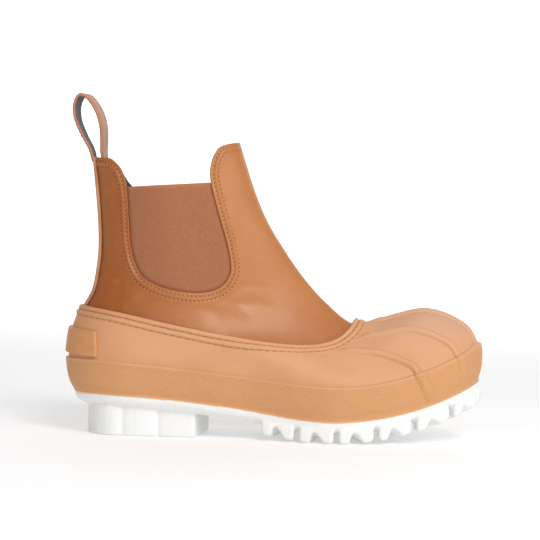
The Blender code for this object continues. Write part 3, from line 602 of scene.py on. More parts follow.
def lay_beads(path, normal, pitch, length, width, rise, shift=0.5):
    """Row of long beads on a path: point = path(s) + across * width / 2 * cos t * r + normal * rise * sin t
    * r, with r = sqrt(1 - q^2) while q runs from -1 to 1 over the bead's length."""
    run = lengths(path)
    count = int(run[-1] / pitch)
    middle = (np.arange(count) + shift) * run[-1] / count
    r = np.sqrt(1.0 - BEAD_PLACES**2)[None, :, None, None]
    t = np.linspace(0.0, 2 * PI, BEAD_SIDES + 1)[:, None]
    s = np.clip(middle[:, None] + BEAD_PLACES * length / 2, 0.0, run[-1])
    up = along_line(s, run, normal)
    aside = unit(np.cross(along_line(s, run, np.gradient(path, run, axis=0)), up))
    beads = along_line(s, run, path)[:, :, None] + aside[:, :, None] * (width / 2 * np.cos(t) * r)
    beads = beads + up[:, :, None] * (rise * np.sin(t) * r)
    starts = len(BEAD_PLACES) * len(t) * np.arange(count)
    quads = grid_quads(beads[0])[None] + starts[:, None, None]
    return beads.reshape(-1, 3), quads.reshape(-1, 4)


def path_on(angle, row, height):
    """Path at this height over the last, and its normals."""
    path = skin(angle, row, height)
    return path, (skin(angle, row, height + MM) - path) / MM


threads = []
hole_shade_beads = []
for angle, row, away in seam_lines:
    seam = path_on(angle, row, leather_lift(np.full(angle.shape, away), last_point(angle, row), angle))
    threads.append(lay_beads(*seam, STITCH_PITCH, **STITCH))
    hole_shade_beads.append(lay_beads(*seam, STITCH_PITCH, **HOLE_SHADE, shift=0.0))
seam_thread = Finish("seam_thread", Base_Color=tone(206, 146, 100), Roughness=0.6)
seam_thread.paint(Normal=seam_thread.bump(seam_thread.noise(0.25 * MM), 0.08 * MM))
# Painted shade: dark brown beads where the needle holes are, in place of the shadow inside them.
painted_hole_shade = Finish("painted_hole_shade", Base_Color=tone(112, 56, 26), Roughness=0.8)
seam_stitches = make_piece("seam_stitches", *joined(threads), seam_thread)
painted_hole_shades = make_piece("painted_hole_shades", *joined(hole_shade_beads), painted_hole_shade)
for piece in (seam_stitches, painted_hole_shades):
    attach(piece, "root")

# Elastic gores: brown woven elastic with a fine even grain, set into the notches behind the leather's folded
# edge, with a narrow hem across the top. Each is a thin closed sheet that sinks under the leather all round.
GORE_TOP = ((30.0, 170.1), (120.0, 176.2))
GORE_SINK = 0.4 * MM
GORE_TUCK = 1.1 * MM
GORE_TUCK_WIDTH = 2.6 * MM
GORE_UNDER = 1.3 * MM
GORE_WALL = 0.5 * MM
HEM_HEIGHT = 2.0 * MM
HEM_EASE = 0.5 * MM
HEM_RISE = 0.4 * MM
HEM_FOLD = 0.5 * MM
GORE_CHORDS = 71
GORE_ACROSS = 61


def gore_top(x):
    """Height of the gores' straight top edge in side view at this x."""
    (x0, z0), (x1, z1) = np.array(GORE_TOP) * MM - np.array([BOOT_LENGTH / 2, 0.0])
    return z0 + (x - x0) * (z1 - z0) / (x1 - x0)


def end_quads(columns):
    """Quads across one end of a grid that runs out and back: each joins a column to the one behind it."""
    number = np.arange(columns - 1)
    behind = 2 * columns - 1 - number
    return np.stack([number, number + 1, behind - 1, behind], axis=-1)


woven_elastic = Finish("woven_elastic", Sheen_Weight=0.25, Sheen_Roughness=0.5)
weave = 0.5 * woven_elastic.axis("X").wave(0.62 * MM) + 0.5 * woven_elastic.axis("Z").wave(0.55 * MM)
fleck = woven_elastic.noise(0.9 * MM, 3.0)
woven = woven_elastic.mix(tone(148, 89, 54), tone(172, 110, 73), 0.2 * weave + 0.8 * fleck.step(0.2, 0.8))
woven_elastic.paint(
    Base_Color=woven_elastic.mix(woven, tone(178, 116, 74), woven_elastic.mark("hem") * 0.7),
    Roughness=0.8 + 0.1 * fleck,
    Normal=woven_elastic.bump(0.3 * weave + 0.7 * fleck, 0.16 * MM),
)
for name, side in (("gore_outer", 1), ("gore_inner", -1)):
    edge_angle, edge_row = notch_edge(side)
    drawn = last_point(side * edge_angle, edge_row)[:, (0, 2)]
    under = np.nonzero(drawn[:, 1] < gore_top(drawn[:, 0]))[0]
    hanging = drawn[under[0]: under[-1] + 1]
    way = np.gradient(hanging, axis=0)
    hanging = hanging + GORE_UNDER * unit(np.stack([way[:, 1], -way[:, 0]], axis=-1))
    run = lengths(hanging)
    chord = np.linspace(0.0, 0.5, GORE_CHORDS) * run[-1]
    left = along_line(chord, run, hanging)
    right = along_line(run[-1] - chord, run, hanging)
    across = np.linspace(0.0, 1.0, GORE_ACROSS)[None, :, None]
    sheet = left[:, None] + across * (right - left)[:, None]
    angle, row = place_on_side(sheet[..., 0], sheet[..., 1], side)
    tucked_angle, tucked_row = place_on_side(hanging[:, 0], hanging[:, 1], side)
    tucked = last_point(side * tucked_angle, tucked_row)
    away = distance_to(last_point(side * angle, row), tucked) - GORE_UNDER
    drop = gore_top(sheet[..., 0]) - sheet[..., 1]
    hem = 1.0 - smooth((drop - HEM_HEIGHT) / HEM_EASE)
    inside = smooth(away / GORE_TUCK_WIDTH)
    face = -GORE_SINK - GORE_TUCK * (1.0 - inside) + HEM_RISE * hem * inside
    front = skin(side * angle, row, face)
    back = skin(side * angle, row, face - GORE_WALL - HEM_FOLD * hem)
    grid = np.concatenate([front[:, ::-1], back, front[:, -1:]], axis=1)
    hems = np.concatenate([hem[:, ::-1], hem, hem[:, -1:]], axis=1)
    quads = np.concatenate([grid_quads(grid), end_quads(GORE_ACROSS)])
    gore = make_piece(name + "_elastic", grid, quads, woven_elastic, marks={"hem": hems})
    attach(gore, "root")
    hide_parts(name)

# Back strap: a strip of tan leather over the back seam, folded at its edges and sewn down both sides. It runs
# from the shell's rim to the collar, where it holds the pull loop.
STRAP_WIDTH = 12.5 * MM
STRAP_WALL = 2.3 * MM
STRAP_EDGE = 1.0 * MM
STRAP_GAP = 0.05 * MM
STRAP_FROM = 6.12
STRAP_TO = COLLAR - 0.01
STRAP_ROWS = 90
STRAP_ROUND = 49
STRAP_SEAMS = (-4.6 * MM, 4.6 * MM)
STRAP_SEAM_SINK = 0.25 * MM
STRAP_SEAM_HALF = 0.5 * MM
STRAP_THREAD_SINK = 0.22 * MM
SECTION_SQUARE = 0.25
HEEL_TURN = 0.9
HEEL_SAMPLES = 721


def angle_at_y(row, across):
    """Angle near the heel at which the last stands this far from its centre line."""
    angles = np.linspace(-HEEL_TURN, HEEL_TURN, HEEL_SAMPLES)
    y = last_point(angles[None, :], row[:, None])[..., 1] - HEEL_LINE_Y
    return np.stack([np.interp(-across, -line, angles) for line in y])


def strap_section(width, thick, edge, count):
    """Rounded flat section, once round: across is a cosine squared off by a power, lift is half the wall with
    a quarter circle at both edges."""
    t = np.linspace(0.0, 2 * PI, count)
    across = np.sign(np.cos(t)) * np.abs(np.cos(t)) ** SECTION_SQUARE * width / 2
    lift = np.sign(np.sin(t)) * thick / 2 * round_cap((width / 2 - np.abs(across)) / edge)
    return across, lift


def capped(grid):
    """Grid of a tube with closed ends: a row at each end's middle is added before and after."""
    middle = np.repeat(grid.mean(axis=1, keepdims=True), grid.shape[1], axis=1)
    return np.concatenate([middle[:1], grid, middle[-1:]])


strap_across, strap_lift = strap_section(STRAP_WIDTH, STRAP_WALL, STRAP_EDGE, STRAP_ROUND)
strap_rows = np.linspace(STRAP_FROM, STRAP_TO, STRAP_ROWS)
strap_angle = angle_at_y(strap_rows, strap_across)
strap_sewn = STRAP_SEAM_SINK * sum(hill((strap_across - at) / STRAP_SEAM_HALF) for at in STRAP_SEAMS)
strap_offset = STRAP_GAP + STRAP_WALL / 2 + strap_lift - strap_sewn * (strap_lift > 0)
strap_grid = capped(skin(strap_angle, strap_rows[:, None], strap_offset[None, :]))
strap_leather = Finish("strap_leather", Roughness=0.5, Coat_Roughness=0.35)
strap_cloud = strap_leather.noise(9 * MM, 3.0)
strap_leather.paint(
    Base_Color=strap_leather.mix(tone(196, 142, 108), tone(186, 128, 92), strap_cloud.step(0.35, 0.7)),
    Coat_Weight=0.08 + 0.08 * strap_cloud,
    Normal=strap_leather.bump(strap_leather.noise(0.8 * MM), 0.08 * MM),
)
back_strap = make_piece("back_strap", strap_grid, grid_quads(strap_grid), strap_leather)
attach(back_strap, "root")
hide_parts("back_strap")
strap_threads = []
for at in STRAP_SEAMS:
    line_angle = angle_at_y(strap_rows, np.array([at]))[:, 0]
    seam = path_on(line_angle, strap_rows, STRAP_GAP + STRAP_WALL - STRAP_THREAD_SINK)
    strap_threads.append(lay_beads(*seam, STITCH_PITCH, **STITCH))
strap_stitches = make_piece("strap_stitches", *joined(strap_threads), seam_thread)
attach(strap_stitches, "root")

# Pull loop: a strap of tan leather lined with dark grey ribbed tape, bent over into a tall loop and sewn
# in at the back of the collar. Its outer face, inside a border, carries a paler pink painted reflection.
# Its middle line is drawn in side view, from the back strap to the inside.
LOOP_PATH = (
    (19.3, 187.6), (16.8, 196.5), (12.0, 205.5), (7.6, 216.0), (6.6, 224.5),
    (8.4, 231.2), (11.8, 233.6), (16.8, 231.0), (22.6, 222.2), (25.5, 212.5),
    (26.1, 203.0), (25.9, 195.5), (26.5, 189.0), (27.2, 182.0), (28.2, 173.0),
)
LOOP_WIDTH = 13.0 * MM
LOOP_WALL = 2.2 * MM
LOOP_EDGE = 0.9 * MM
LOOP_BORDER = 1.7 * MM
LOOP_SEAMS = (-5.2 * MM, 5.2 * MM)
LOOP_TWIST = math.radians(14)
LOOP_BOW = 33.0
LOOP_STEPS = 12
LOOP_ROUND = 57
TAPE_FROM = 0.75
REFLECTION_FACE_FROM = 0.8
loop_table = np.array(LOOP_PATH) * MM
loop_place = np.linspace(0, len(LOOP_PATH) - 1, (len(LOOP_PATH) - 1) * LOOP_STEPS + 1)
loop_path = np.stack([through(loop_table[:, k], loop_place) for k in range(2)], axis=-1)
loop_run = unit(np.gradient(loop_path, axis=0))
loop_free = np.sin(np.linspace(0, 1, len(loop_path)) * PI)[:, None]
loop_turn = LOOP_TWIST * loop_free
loop_bow = LOOP_BOW * (1.0 - loop_free)


def loop_point(across, lift):
    """Point of the loop: its middle line, lift along the line's normal, across turned by twist and bowed."""
    x = loop_path[:, :1] - loop_run[:, 1:] * lift - BOOT_LENGTH / 2
    x = x + np.sin(loop_turn) * across + loop_bow * across**2
    y = np.cos(loop_turn) * across + HEEL_LINE_Y
    z = loop_path[:, 1:] + loop_run[:, :1] * lift
    return np.stack([x, y, z], axis=-1)


loop_across, loop_lift = strap_section(LOOP_WIDTH, LOOP_WALL, LOOP_EDGE, LOOP_ROUND)
loop_grid = capped(loop_point(loop_across, loop_lift))
loop_tape = loop_lift < -TAPE_FROM * LOOP_WALL / 2
loop_face_reflection = (loop_lift > REFLECTION_FACE_FROM * LOOP_WALL / 2) & (np.abs(loop_across) < LOOP_WIDTH / 2 - LOOP_BORDER)
loop_marks = {"tape": np.tile(loop_tape, len(loop_grid)), "face": np.tile(loop_face_reflection, len(loop_grid))}
loop_strap = Finish("loop_strap", Roughness=0.55, Coat_Roughness=0.35)
tape_rib = loop_strap.axis("Z").wave(1.6 * MM)
# Painted reflection: the outer face inside its border (the "face" mark) is painted a paler pink than the tan
# edges.
loop_skin_and_reflection = loop_strap.mix(tone(176, 118, 80), tone(172, 134, 112), loop_strap.mark("face"))
loop_grey = loop_strap.mix(tone(46, 45, 46), tone(80, 79, 80), tape_rib)
loop_relief = tape_rib * loop_strap.mark("tape") + 0.3 * loop_strap.noise(0.7 * MM)
loop_strap.paint(
    Base_Color=loop_strap.mix(loop_skin_and_reflection, loop_grey, loop_strap.mark("tape").step(0.3, 0.7)),
    Coat_Weight=0.12 * loop_strap.mark("face"),
    Normal=loop_strap.bump(loop_relief, 0.15 * MM),
)
loop_quads = grid_quads(loop_grid)
pull_loop = make_piece("pull_loop", loop_grid, loop_quads, loop_strap, marks=loop_marks)
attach(pull_loop, "root")
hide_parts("pull_loop")
loop_threads = []
for at in LOOP_SEAMS:
    path = loop_point(at, LOOP_WALL / 2)[:, 0]
    normal = (loop_point(at, LOOP_WALL / 2 + MM)[:, 0] - path) / MM
    loop_threads.append(lay_beads(path, normal, STITCH_PITCH, **STITCH))
loop_stitches = make_piece("loop_stitches", *joined(loop_threads), seam_thread)
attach(loop_stitches, "root")

# Rubber shell: a bottom moulded in matt tan rubber, bonded over the leather. A knurled foxing band runs round
# its foot, five ribs fan over the toe, and its rim has two beads with a row of moulded stitches under each.
FIT_GAP = 0.3 * MM
SHELL_FACE = 3.1 * MM
FOXING_FACE = 5.1 * MM
SHELL_COLUMNS = 720
TURN_SAMPLES = 7201
CLIMB_STEPS = 240
RIB_ANGLES = (-42.0, -23.0, 0.0, 23.0, 42.0)
RIB_RISE = 2.3 * MM
RIB_HALF = 2.9 * MM
RIB_HALF_FOXING = 4.2 * MM
RIB_ROUND = 0.8
RIB_FADE_FROM = 0.84
RIB_CROWD = 6.0
RIB_CROWD_HALF = 3.2
RIM_STEP = 0.5 * MM
RIM_STEP_EASE = 1.2 * MM
RIM_DEPTH = 8.0 * MM
RIM_ROWS_AT = (3.3 * MM, 7.05 * MM)
RIM_GROOVE_SHADE = 0.55 * MM
# Beads of the rim: distance of the middle under the rim, half width and rise, in millimetres
RIM_BEADS = ((1.5, 1.5, 1.0), (5.15, 1.55, 0.85))
KNURL_PITCH = 1.15 * MM
KNURL_LEAN = math.radians(36)
TURN_STEP = 1e-3
# Foxing profile: share of the band's height, shift and face in millimetres, share of the rib's rise, knurled
FOXING_PROFILE = (
    (0.00, 0.00, 4.90, 0.0, 0),
    (0.00, 0.10, 5.20, 0.0, 0),
    (0.00, 0.40, 5.30, 0.0, 0),
    (0.00, 0.80, 5.30, 0.0, 0),
    (0.00, 1.10, 5.10, 0.05, 0),
    (0.15, 0.00, 5.10, 0.30, 1),
    (0.25, 0.00, 5.10, 0.50, 1),
    (0.35, 0.00, 5.10, 0.62, 1),
    (0.45, 0.00, 5.10, 0.72, 1),
    (0.55, 0.00, 5.10, 0.80, 1),
    (0.65, 0.00, 5.10, 0.86, 1),
    (0.75, 0.00, 5.10, 0.92, 1),
    (0.85, 0.00, 5.10, 0.96, 1),
    (1.00, -2.20, 5.10, 1.0, 1),
    (1.00, -1.90, 5.18, 1.0, 0),
    (1.00, -1.00, 5.18, 1.0, 0),
    (1.00, -0.50, 5.00, 1.0, 0),
    (1.00, -0.15, 4.60, 1.0, 0),
    (1.00, 0.05, 4.05, 1.0, 0),
    (1.00, 0.20, 3.45, 1.0, 0),
    (1.00, 0.50, 3.15, 1.0, 0),
    (1.00, 1.00, 3.10, 1.0, 0),
)
FOXING_OVER = 1.0 * MM
FOXING_EASE = 3.0 * MM
PAINTED_LIGHT_LIP_TOP = 0.5
FOOT_SHARES = np.linspace(0.0, 1.0, 54)[1:-1]
RIM_LEVELS = np.concatenate([np.linspace(8.0, 0.5, 46), [0.3, 0.12, 0.0]]) * MM
# Shell's inside, from the rim's top down: distance under the rim and face, in millimetres
RIM_INSIDE = ((-0.15, 3.0), (-0.2, 2.2), (-0.15, 1.2), (0.1, 0.5), (0.6, 0.3))
INSIDE_SHARES = (0.85, 0.6, 0.3, 0.0)
even_turn = np.linspace(0.0, 360.0, TURN_SAMPLES)
crowd = 1.0 + RIB_CROWD * sum(hill((even_turn - 180.0 - at) / RIB_CROWD_HALF) for at in RIB_ANGLES)
crowd = np.concatenate(([0.0], np.cumsum(0.5 * (crowd[1:] + crowd[:-1]))))
shell_angle = np.radians(np.interp(np.linspace(0.0, crowd[-1], SHELL_COLUMNS + 1), crowd, even_turn))
climb_rows = np.linspace(FEATHER, RIM, CLIMB_STEPS + 1)
climb_run = lengths(last_point(shell_angle[None, :], climb_rows[:, None]))
band_height = climb_run[int(round((BAND_TOP - FEATHER) / (RIM - FEATHER) * CLIMB_STEPS))]
climb_face = skin(shell_angle[None, :], climb_rows[:, None], SHELL_FACE)
under_rim = -distance_to(climb_face, climb_face[-1])
shell_lines = []


def row_where(run, value):
    """Row of the last where a run up its columns, given at climb_rows, comes to these values."""
    level = np.clip((run < value).sum(axis=0), 1, CLIMB_STEPS)
    column = np.arange(run.shape[1])
    low = run[level - 1, column]
    high = run[level, column]
    return climb_rows[level - 1] + (climb_rows[1] - climb_rows[0]) * (value - low) / (high - low)


def add_line(row, face, height=band_height + RIM_DEPTH, rib=0.0, **marks):
    """Adds a line round the shell: rows, face, height over the feather edge, share of the ribs, marks."""
    shell_lines.append((row, face, height, rib, marks))


for share, shift, face, rib, knurled in FOXING_PROFILE:
    height = band_height * share + shift * MM
    lip = float(share == 0.0 and shift < PAINTED_LIGHT_LIP_TOP)
    add_line(row_where(climb_run, height), face * MM, height, rib, knurl=knurled, lip=lip)
foot_low = row_where(climb_run, band_height + FOXING_OVER)
foot_high = row_where(under_rim, -RIM_DEPTH)
for share in FOOT_SHARES:
    fade = 1.0 - smooth((share - RIB_FADE_FROM) / (1.0 - RIB_FADE_FROM))
    add_line(foot_low + share * (foot_high - foot_low), SHELL_FACE, rib=fade)
for level in RIM_LEVELS:
    face = SHELL_FACE + RIM_STEP * smooth((RIM_DEPTH - level) / RIM_STEP_EASE)
    for at, half, rise in RIM_BEADS:
        face = face + rise * MM * np.sqrt(max(1.0 - ((level / MM - at) / half) ** 2, 0.0))
    # Painted shade: a mark along the rim's two stitch rows, darkened in the shell's colour below.
    groove = sum(hill((level - at) / RIM_GROOVE_SHADE) for at in RIM_ROWS_AT)
    add_line(row_where(under_rim, -level), face, groove=groove)
for level, face in RIM_INSIDE:
    add_line(row_where(under_rim, -level * MM), face * MM)
for share in INSIDE_SHARES:
    add_line(np.full(SHELL_COLUMNS + 1, FEATHER + share * (RIM - FEATHER)), FIT_GAP)
shell_lines.append(shell_lines[0])
shell_row, shell_height = (np.stack([line[place] for line in shell_lines]) for place in (0, 2))
shell_face, shell_rib = (np.array([line[place] for line in shell_lines])[:, None] for place in (1, 3))
turned = last_point(shell_angle + TURN_STEP, shell_row) - last_point(shell_angle - TURN_STEP, shell_row)
upward = last_point(shell_angle, shell_row + TURN_STEP) - last_point(shell_angle, shell_row - TURN_STEP)
metre_per_angle = np.linalg.norm(np.cross(turned, unit(upward)), axis=-1) / (2 * TURN_STEP)
on_foxing = 1.0 - smooth((shell_height - band_height) / FOXING_EASE + 0.5)
rib_half = RIB_HALF + (RIB_HALF_FOXING - RIB_HALF) * on_foxing
ribs = np.zeros(shell_row.shape)
for at in RIB_ANGLES:
    aside = (shell_angle - PI - math.radians(at)) * metre_per_angle
    ribs = np.maximum(ribs, np.maximum(1.0 - (aside / rib_half) ** 2, 0.0) ** RIB_ROUND)
shell_grid = skin(shell_angle, shell_row, shell_face + RIB_RISE * ribs * shell_rib)
around = lengths(np.swapaxes(last_point(shell_angle, shell_row), 0, 1)).T
shell_uv = np.stack([around, shell_height], axis=-1)
shell_marks = {}
for mark in ("knurl", "groove", "lip"):
    shell_marks[mark] = np.repeat([line[4].get(mark, 0.0) for line in shell_lines], SHELL_COLUMNS + 1)
tan_rubber = Finish("tan_rubber", Specular_IOR_Level=0.4)
lay = tan_rubber.node("ShaderNodeUVMap", {"uv_map": "lay"})
lean_u = tan_rubber.axis("X", lay) * math.sin(KNURL_LEAN)
lean_v = tan_rubber.axis("Y", lay) * math.cos(KNURL_LEAN)
knurl = 0.6 * (lean_u - lean_v).wave(KNURL_PITCH) + 0.4 * (lean_u + lean_v).wave(KNURL_PITCH)
knurl = knurl * tan_rubber.mark("knurl").step(0.2, 0.9)
rubber_cloud = tan_rubber.noise(26 * MM, 3.0)
rubber_bloom = tan_rubber.noise(2.2 * MM, 4.0)
# Painted reflection: a pale pinkish veil mixed into the colour over the front and top of the toe.
painted_toe_reflection = tan_rubber.axis("X").step(0.03, 0.11) * tan_rubber.axis("Z").step(0.055, 0.085)
rubber = tan_rubber.mix(tone(213, 157, 112), tone(209, 152, 107), rubber_cloud.step(0.3, 0.75))
rubber = tan_rubber.mix(rubber, tone(207, 162, 134), painted_toe_reflection * 0.7)
rubber = tan_rubber.mix(rubber, tone(228, 170, 116), tan_rubber.mark("knurl") * 0.75)
# Painted shade: the knurl's low lines are painted darker brown, as shade in its small grooves.
rubber = tan_rubber.mix(rubber, tone(176, 110, 62), (1.0 - knurl) * tan_rubber.mark("knurl") * 0.62)
# Painted light: the foxing's bottom lip, which faces down into shade, is painted a light yellow tan.
rubber = tan_rubber.mix(rubber, tone(240, 188, 134), tan_rubber.mark("lip"))
# Painted shade: the rim's two stitch grooves darkened.
rubber = tan_rubber.mix(rubber, tone(186, 124, 80), tan_rubber.mark("groove") * 0.5)
tan_rubber.paint(
    Base_Color=tan_rubber.mix(rubber, tone(216, 162, 118), rubber_bloom.step(0.45, 0.8) * 0.15),
    Roughness=0.5 + 0.12 * rubber_bloom,
    Normal=tan_rubber.bump(knurl + 0.03 * rubber_bloom, 0.28 * MM),
)
shell_quads = grid_quads(shell_grid)
rubber_shell = make_piece("rubber_shell", shell_grid, shell_quads, tan_rubber, shell_uv, shell_marks)
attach(rubber_shell, "root")
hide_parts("rubber_shell")

# Moulded stitches: part of the shell's mould, made of the same rubber: long dashes in the two grooves of the
# rim. They are painted darker than the beads beside them, as painted shade for the shadowed grooves.
MOULDED_PITCH = 5.0 * MM
MOULDED = {"length": 3.7 * MM, "width": 0.95 * MM, "rise": 0.22 * MM}
MOULDED_FACES = (SHELL_FACE + 0.5 * MM, SHELL_FACE + 0.42 * MM)
moulded = []
for at, face in zip(RIM_ROWS_AT, MOULDED_FACES):
    dashes = path_on(shell_angle, row_where(under_rim, -at), face)
    moulded.append(lay_beads(*dashes, MOULDED_PITCH, **MOULDED))
# Painted shade: the dashes are painted darker brown than the shell, standing for the shadowed grooves.
rim_dash_shade = Finish("rim_dash_shade", Base_Color=tone(178, 116, 74), Roughness=0.6)
rim_dash_shade.paint(Normal=rim_dash_shade.bump(rim_dash_shade.noise(1.2 * MM), 0.05 * MM))
rim_shaded_stitches = make_piece("rim_shaded_stitches", *joined(moulded), rim_dash_shade)
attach(rim_shaded_stitches, "root")

# Heel tab: a raised plain patch of tan rubber with rounded edges, moulded by itself and bonded round the back
# of the shell. It hangs a little toward its two ends.
TAB_HALF_ANGLE = math.radians(33)
TAB_LOW = 2.9 * MM
TAB_HIGH = 20.2 * MM
TAB_WALL = 2.0 * MM
TAB_GAP = 0.3 * MM
TAB_BACK_GAP = 0.05 * MM
TAB_EDGE = 0.9 * MM
TAB_HANG = 1.5 * MM
TAB_HANG_POWER = 1.5
TAB_ROWS = 57
TAB_COLUMNS = 121
TAB_HEEL_SAMPLES = 181
TAB_CLIMB_SAMPLES = 161


def tab_face():
    """Tab over the shell: inward = distance to the nearest edge; lift = wall * quarter circle of inward."""
    up = 0.5 + 0.5 * np.sin(np.linspace(-PI / 2, PI / 2, TAB_ROWS))
    angle = TAB_HALF_ANGLE * np.sin(np.linspace(-PI / 2, PI / 2, TAB_COLUMNS))
    heel = np.linspace(-TAB_HALF_ANGLE, TAB_HALF_ANGLE, TAB_HEEL_SAMPLES)
    rows = np.linspace(BAND_TOP, RIM, TAB_CLIMB_SAMPLES)
    run = lengths(last_point(heel[None, :], rows[:, None]))
    height = TAB_LOW + up * (TAB_HIGH - TAB_LOW)
    hang = TAB_HANG * np.abs(heel / TAB_HALF_ANGLE) ** TAB_HANG_POWER
    row = np.stack([np.interp(height - low, climb, rows) for low, climb in zip(hang, run.T)], axis=1)
    row = np.stack([np.interp(angle, heel, line) for line in row])
    reach = lengths(last_point(angle, row[len(row) // 2]))
    inward_side = np.minimum(reach, reach[-1] - reach)[None, :]
    inward_up = np.minimum(height - TAB_LOW, TAB_HIGH - height)[:, None]
    corner = np.hypot(np.maximum(2 * TAB_EDGE - inward_side, 0), np.maximum(2 * TAB_EDGE - inward_up, 0))
    inward = np.maximum(2 * TAB_EDGE - corner, 0.0)
    return angle[None, :], row, TAB_WALL * round_cap(inward / TAB_EDGE)


tab_angle, tab_row, tab_lift = tab_face()
tab_front = skin(tab_angle, tab_row, SHELL_FACE + TAB_GAP + tab_lift)
tab_back = skin(tab_angle, tab_row, SHELL_FACE + TAB_BACK_GAP)
tab_grid = np.concatenate([tab_front, tab_back[:, ::-1], tab_front[:, :1]], axis=1)
tab_end = end_quads(TAB_COLUMNS)
tab_top = (TAB_ROWS - 1) * (2 * TAB_COLUMNS + 1)
tab_quads = np.concatenate([grid_quads(tab_grid), tab_end, tab_top + tab_end])
tab_rubber = Finish("tab_rubber", Specular_IOR_Level=0.4)
tab_cloud = tab_rubber.noise(3.0 * MM, 4.0)
tab_rubber.paint(
    Base_Color=tab_rubber.mix(tone(211, 150, 98), tone(206, 145, 92), tab_cloud.step(0.3, 0.75)),
    Roughness=0.5 + 0.1 * tab_cloud,
    Normal=tab_rubber.bump(tab_cloud, 0.01 * MM),
)
heel_tab = make_piece("heel_tab", tab_grid, tab_quads, tab_rubber)
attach(heel_tab, "root")
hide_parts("heel_tab")

# Outsole: white rubber moulded in one piece and bonded under the shell: an edge band that turns under, a heel
# block of three lobes a side, and edge lugs that climb round the toe, each with an arched tunnel. The forms
# are distances on a grid of points, eased into each other as a mould fillets them, and skinned.
SOLE_BAND = 8.5 * MM
SOLE_DEPTH = 14.8 * MM
SOLE_EDGE_INSET = 0.1 * MM
SOLE_TOE_OUT = 1.5 * MM
SOLE_TOE_FROM = 0.78
SOLE_SEAM = -0.4 * MM
SOLE_SIDES_EASE = 20.0 * MM
SOLE_UNDER_SLOPE = 0.75
SOLE_GRID = 1.0 * MM
SOLE_ROOM_LOW = 5.0 * MM
SOLE_ROOM_HIGH = 3.0 * MM
SOLE_SAMPLES = 721
GROUND_SAMPLES = 181
HEEL_BACK = 19.4 * MM
HEEL_BREAST = 99.2 * MM
BREAST_SLANT = 2.4 * MM
HEEL_CORNER = 3.4 * MM
HEEL_EDGE = 1.5 * MM
HEEL_HALF_WIDTH = 28.0 * MM
HEEL_ROUND = 25.0 * MM
HEEL_TOP = 21.0 * MM
HEEL_ROUND_STEPS = 91
HEEL_CORNER_STEPS = 13
BREAST_STEPS = 200
LOBE_FROM = 45.8 * MM
LOBE_PITCH = 26.3 * MM
LOBE_DEPTH = 2.8 * MM
LOBE_ROUND = 0.42
LOBE_EASE = 8.0 * MM
LOBE_STEP = 0.3 * MM
LUG_FROM = 153.0 * MM
LUG_OUT = 0.6 * MM
LUG_TOE_OUT = 1.8 * MM
LUG_TOE_FROM = 0.3
LUG_TOE_EASE = 0.6
LUG_INNER = 0.6
LUG_ROUND = 3.2 * MM
LUG_TOP = 10.8 * MM
LUG_ROOM = 1.6
LUG_WAY = 2.0 * MM
# Tunnel under a lug: place of its crown and its reach to the back and the front as shares of the lug's
# length, the crown's height at the outer face and at the inner end of a lug of full depth, and how it bends
TUNNEL_AT = -0.07
TUNNEL_BACK = 0.13
TUNNEL_FRONT = 0.29
TUNNEL_HIGH = 8.0 * MM
TUNNEL_LOW = 2.1 * MM
TUNNEL_FULL_DEPTH = 22.0
TUNNEL_NARROWS = 0.4
TUNNEL_BEND_BACK = 2.2
TUNNEL_BEND_FRONT = 1.5
TUNNEL_SLOPE = 0.6
FILLET = 2.4 * MM
HEEL_FILLET = 0.8 * MM
TUNNEL_FILLET = 1.6 * MM
# Edge lugs of one side: share of the way along the edge to the toe's tip, length and depth in millimetres
LUGS = (
    (0.000, 24.2, 22.0),
    (0.169, 24.8, 22.0),
    (0.340, 25.0, 22.0),
    (0.506, 24.2, 20.0),
    (0.674, 25.4, 18.0),
    (0.832, 21.2, 16.0),
    (0.948, 15.4, 13.0),
)
# Underside of the sole's band: inset and drop as shares of the band's height
SOLE_EDGE = (
    (0.00, 0.10), (0.02, 0.25), (0.08, 0.42), (0.20, 0.58),
    (0.36, 0.72), (0.56, 0.84), (0.78, 0.94), (1.00, 1.00),
)


def sole_ring(angles, drop):
    """Outline of the sole's edge, this far below the feather edge, wider round the toe."""
    toe = smooth((0.5 - 0.5 * np.cos(angles) - SOLE_TOE_FROM) / (1.0 - SOLE_TOE_FROM))
    ring = skin(angles, FEATHER, FOXING_FACE - SOLE_EDGE_INSET + SOLE_TOE_OUT * toe)
    ring[:, 2] -= SOLE_SEAM + drop
    return ring


def ground(x):
    """Height of the tread's lowest face at this length along the boot."""
    line = sole_ring(np.linspace(0.0, PI, GROUND_SAMPLES), SOLE_DEPTH - SOLE_SEAM)
    return np.maximum(np.interp(x, line[:, 0], line[:, 2]), 0.0)


def inset_in(outer, inner, x, y):
    """Distance of plan points from a closed outline, positive inside it. Its outer and inner sides both run
    from the back to the front with x rising."""
    apart = distance_to(np.stack(np.broadcast_arrays(x, y), axis=-1), np.concatenate([outer, inner]))
    within = (y > np.interp(x, outer[:, 0], outer[:, 1])) & (y < np.interp(x, inner[:, 0], inner[:, 1]))
    within &= (x > outer[0, 0]) & (x < outer[-1, 0])
    return np.where(within, apart, -apart)


def rounded(beyond, radius):
    """Distance to a block with rounded edges, from the distances beyond its faces: the length of what is
    left of them over the radius, less the radius."""
    beyond = np.broadcast_arrays(*(reach + radius for reach in beyond))
    outside = np.sqrt(sum(np.maximum(reach, 0.0) ** 2 for reach in beyond))
    return outside + np.minimum(np.max(beyond, axis=0), 0.0) - radius


def eased(first, second, width):
    """Smaller of two distances, eased over a width: minimum less (width - |difference|) squared / 4 width."""
    near = np.maximum(width - np.abs(first - second), 0.0)
    return np.minimum(first, second) - near**2 / (4.0 * width)


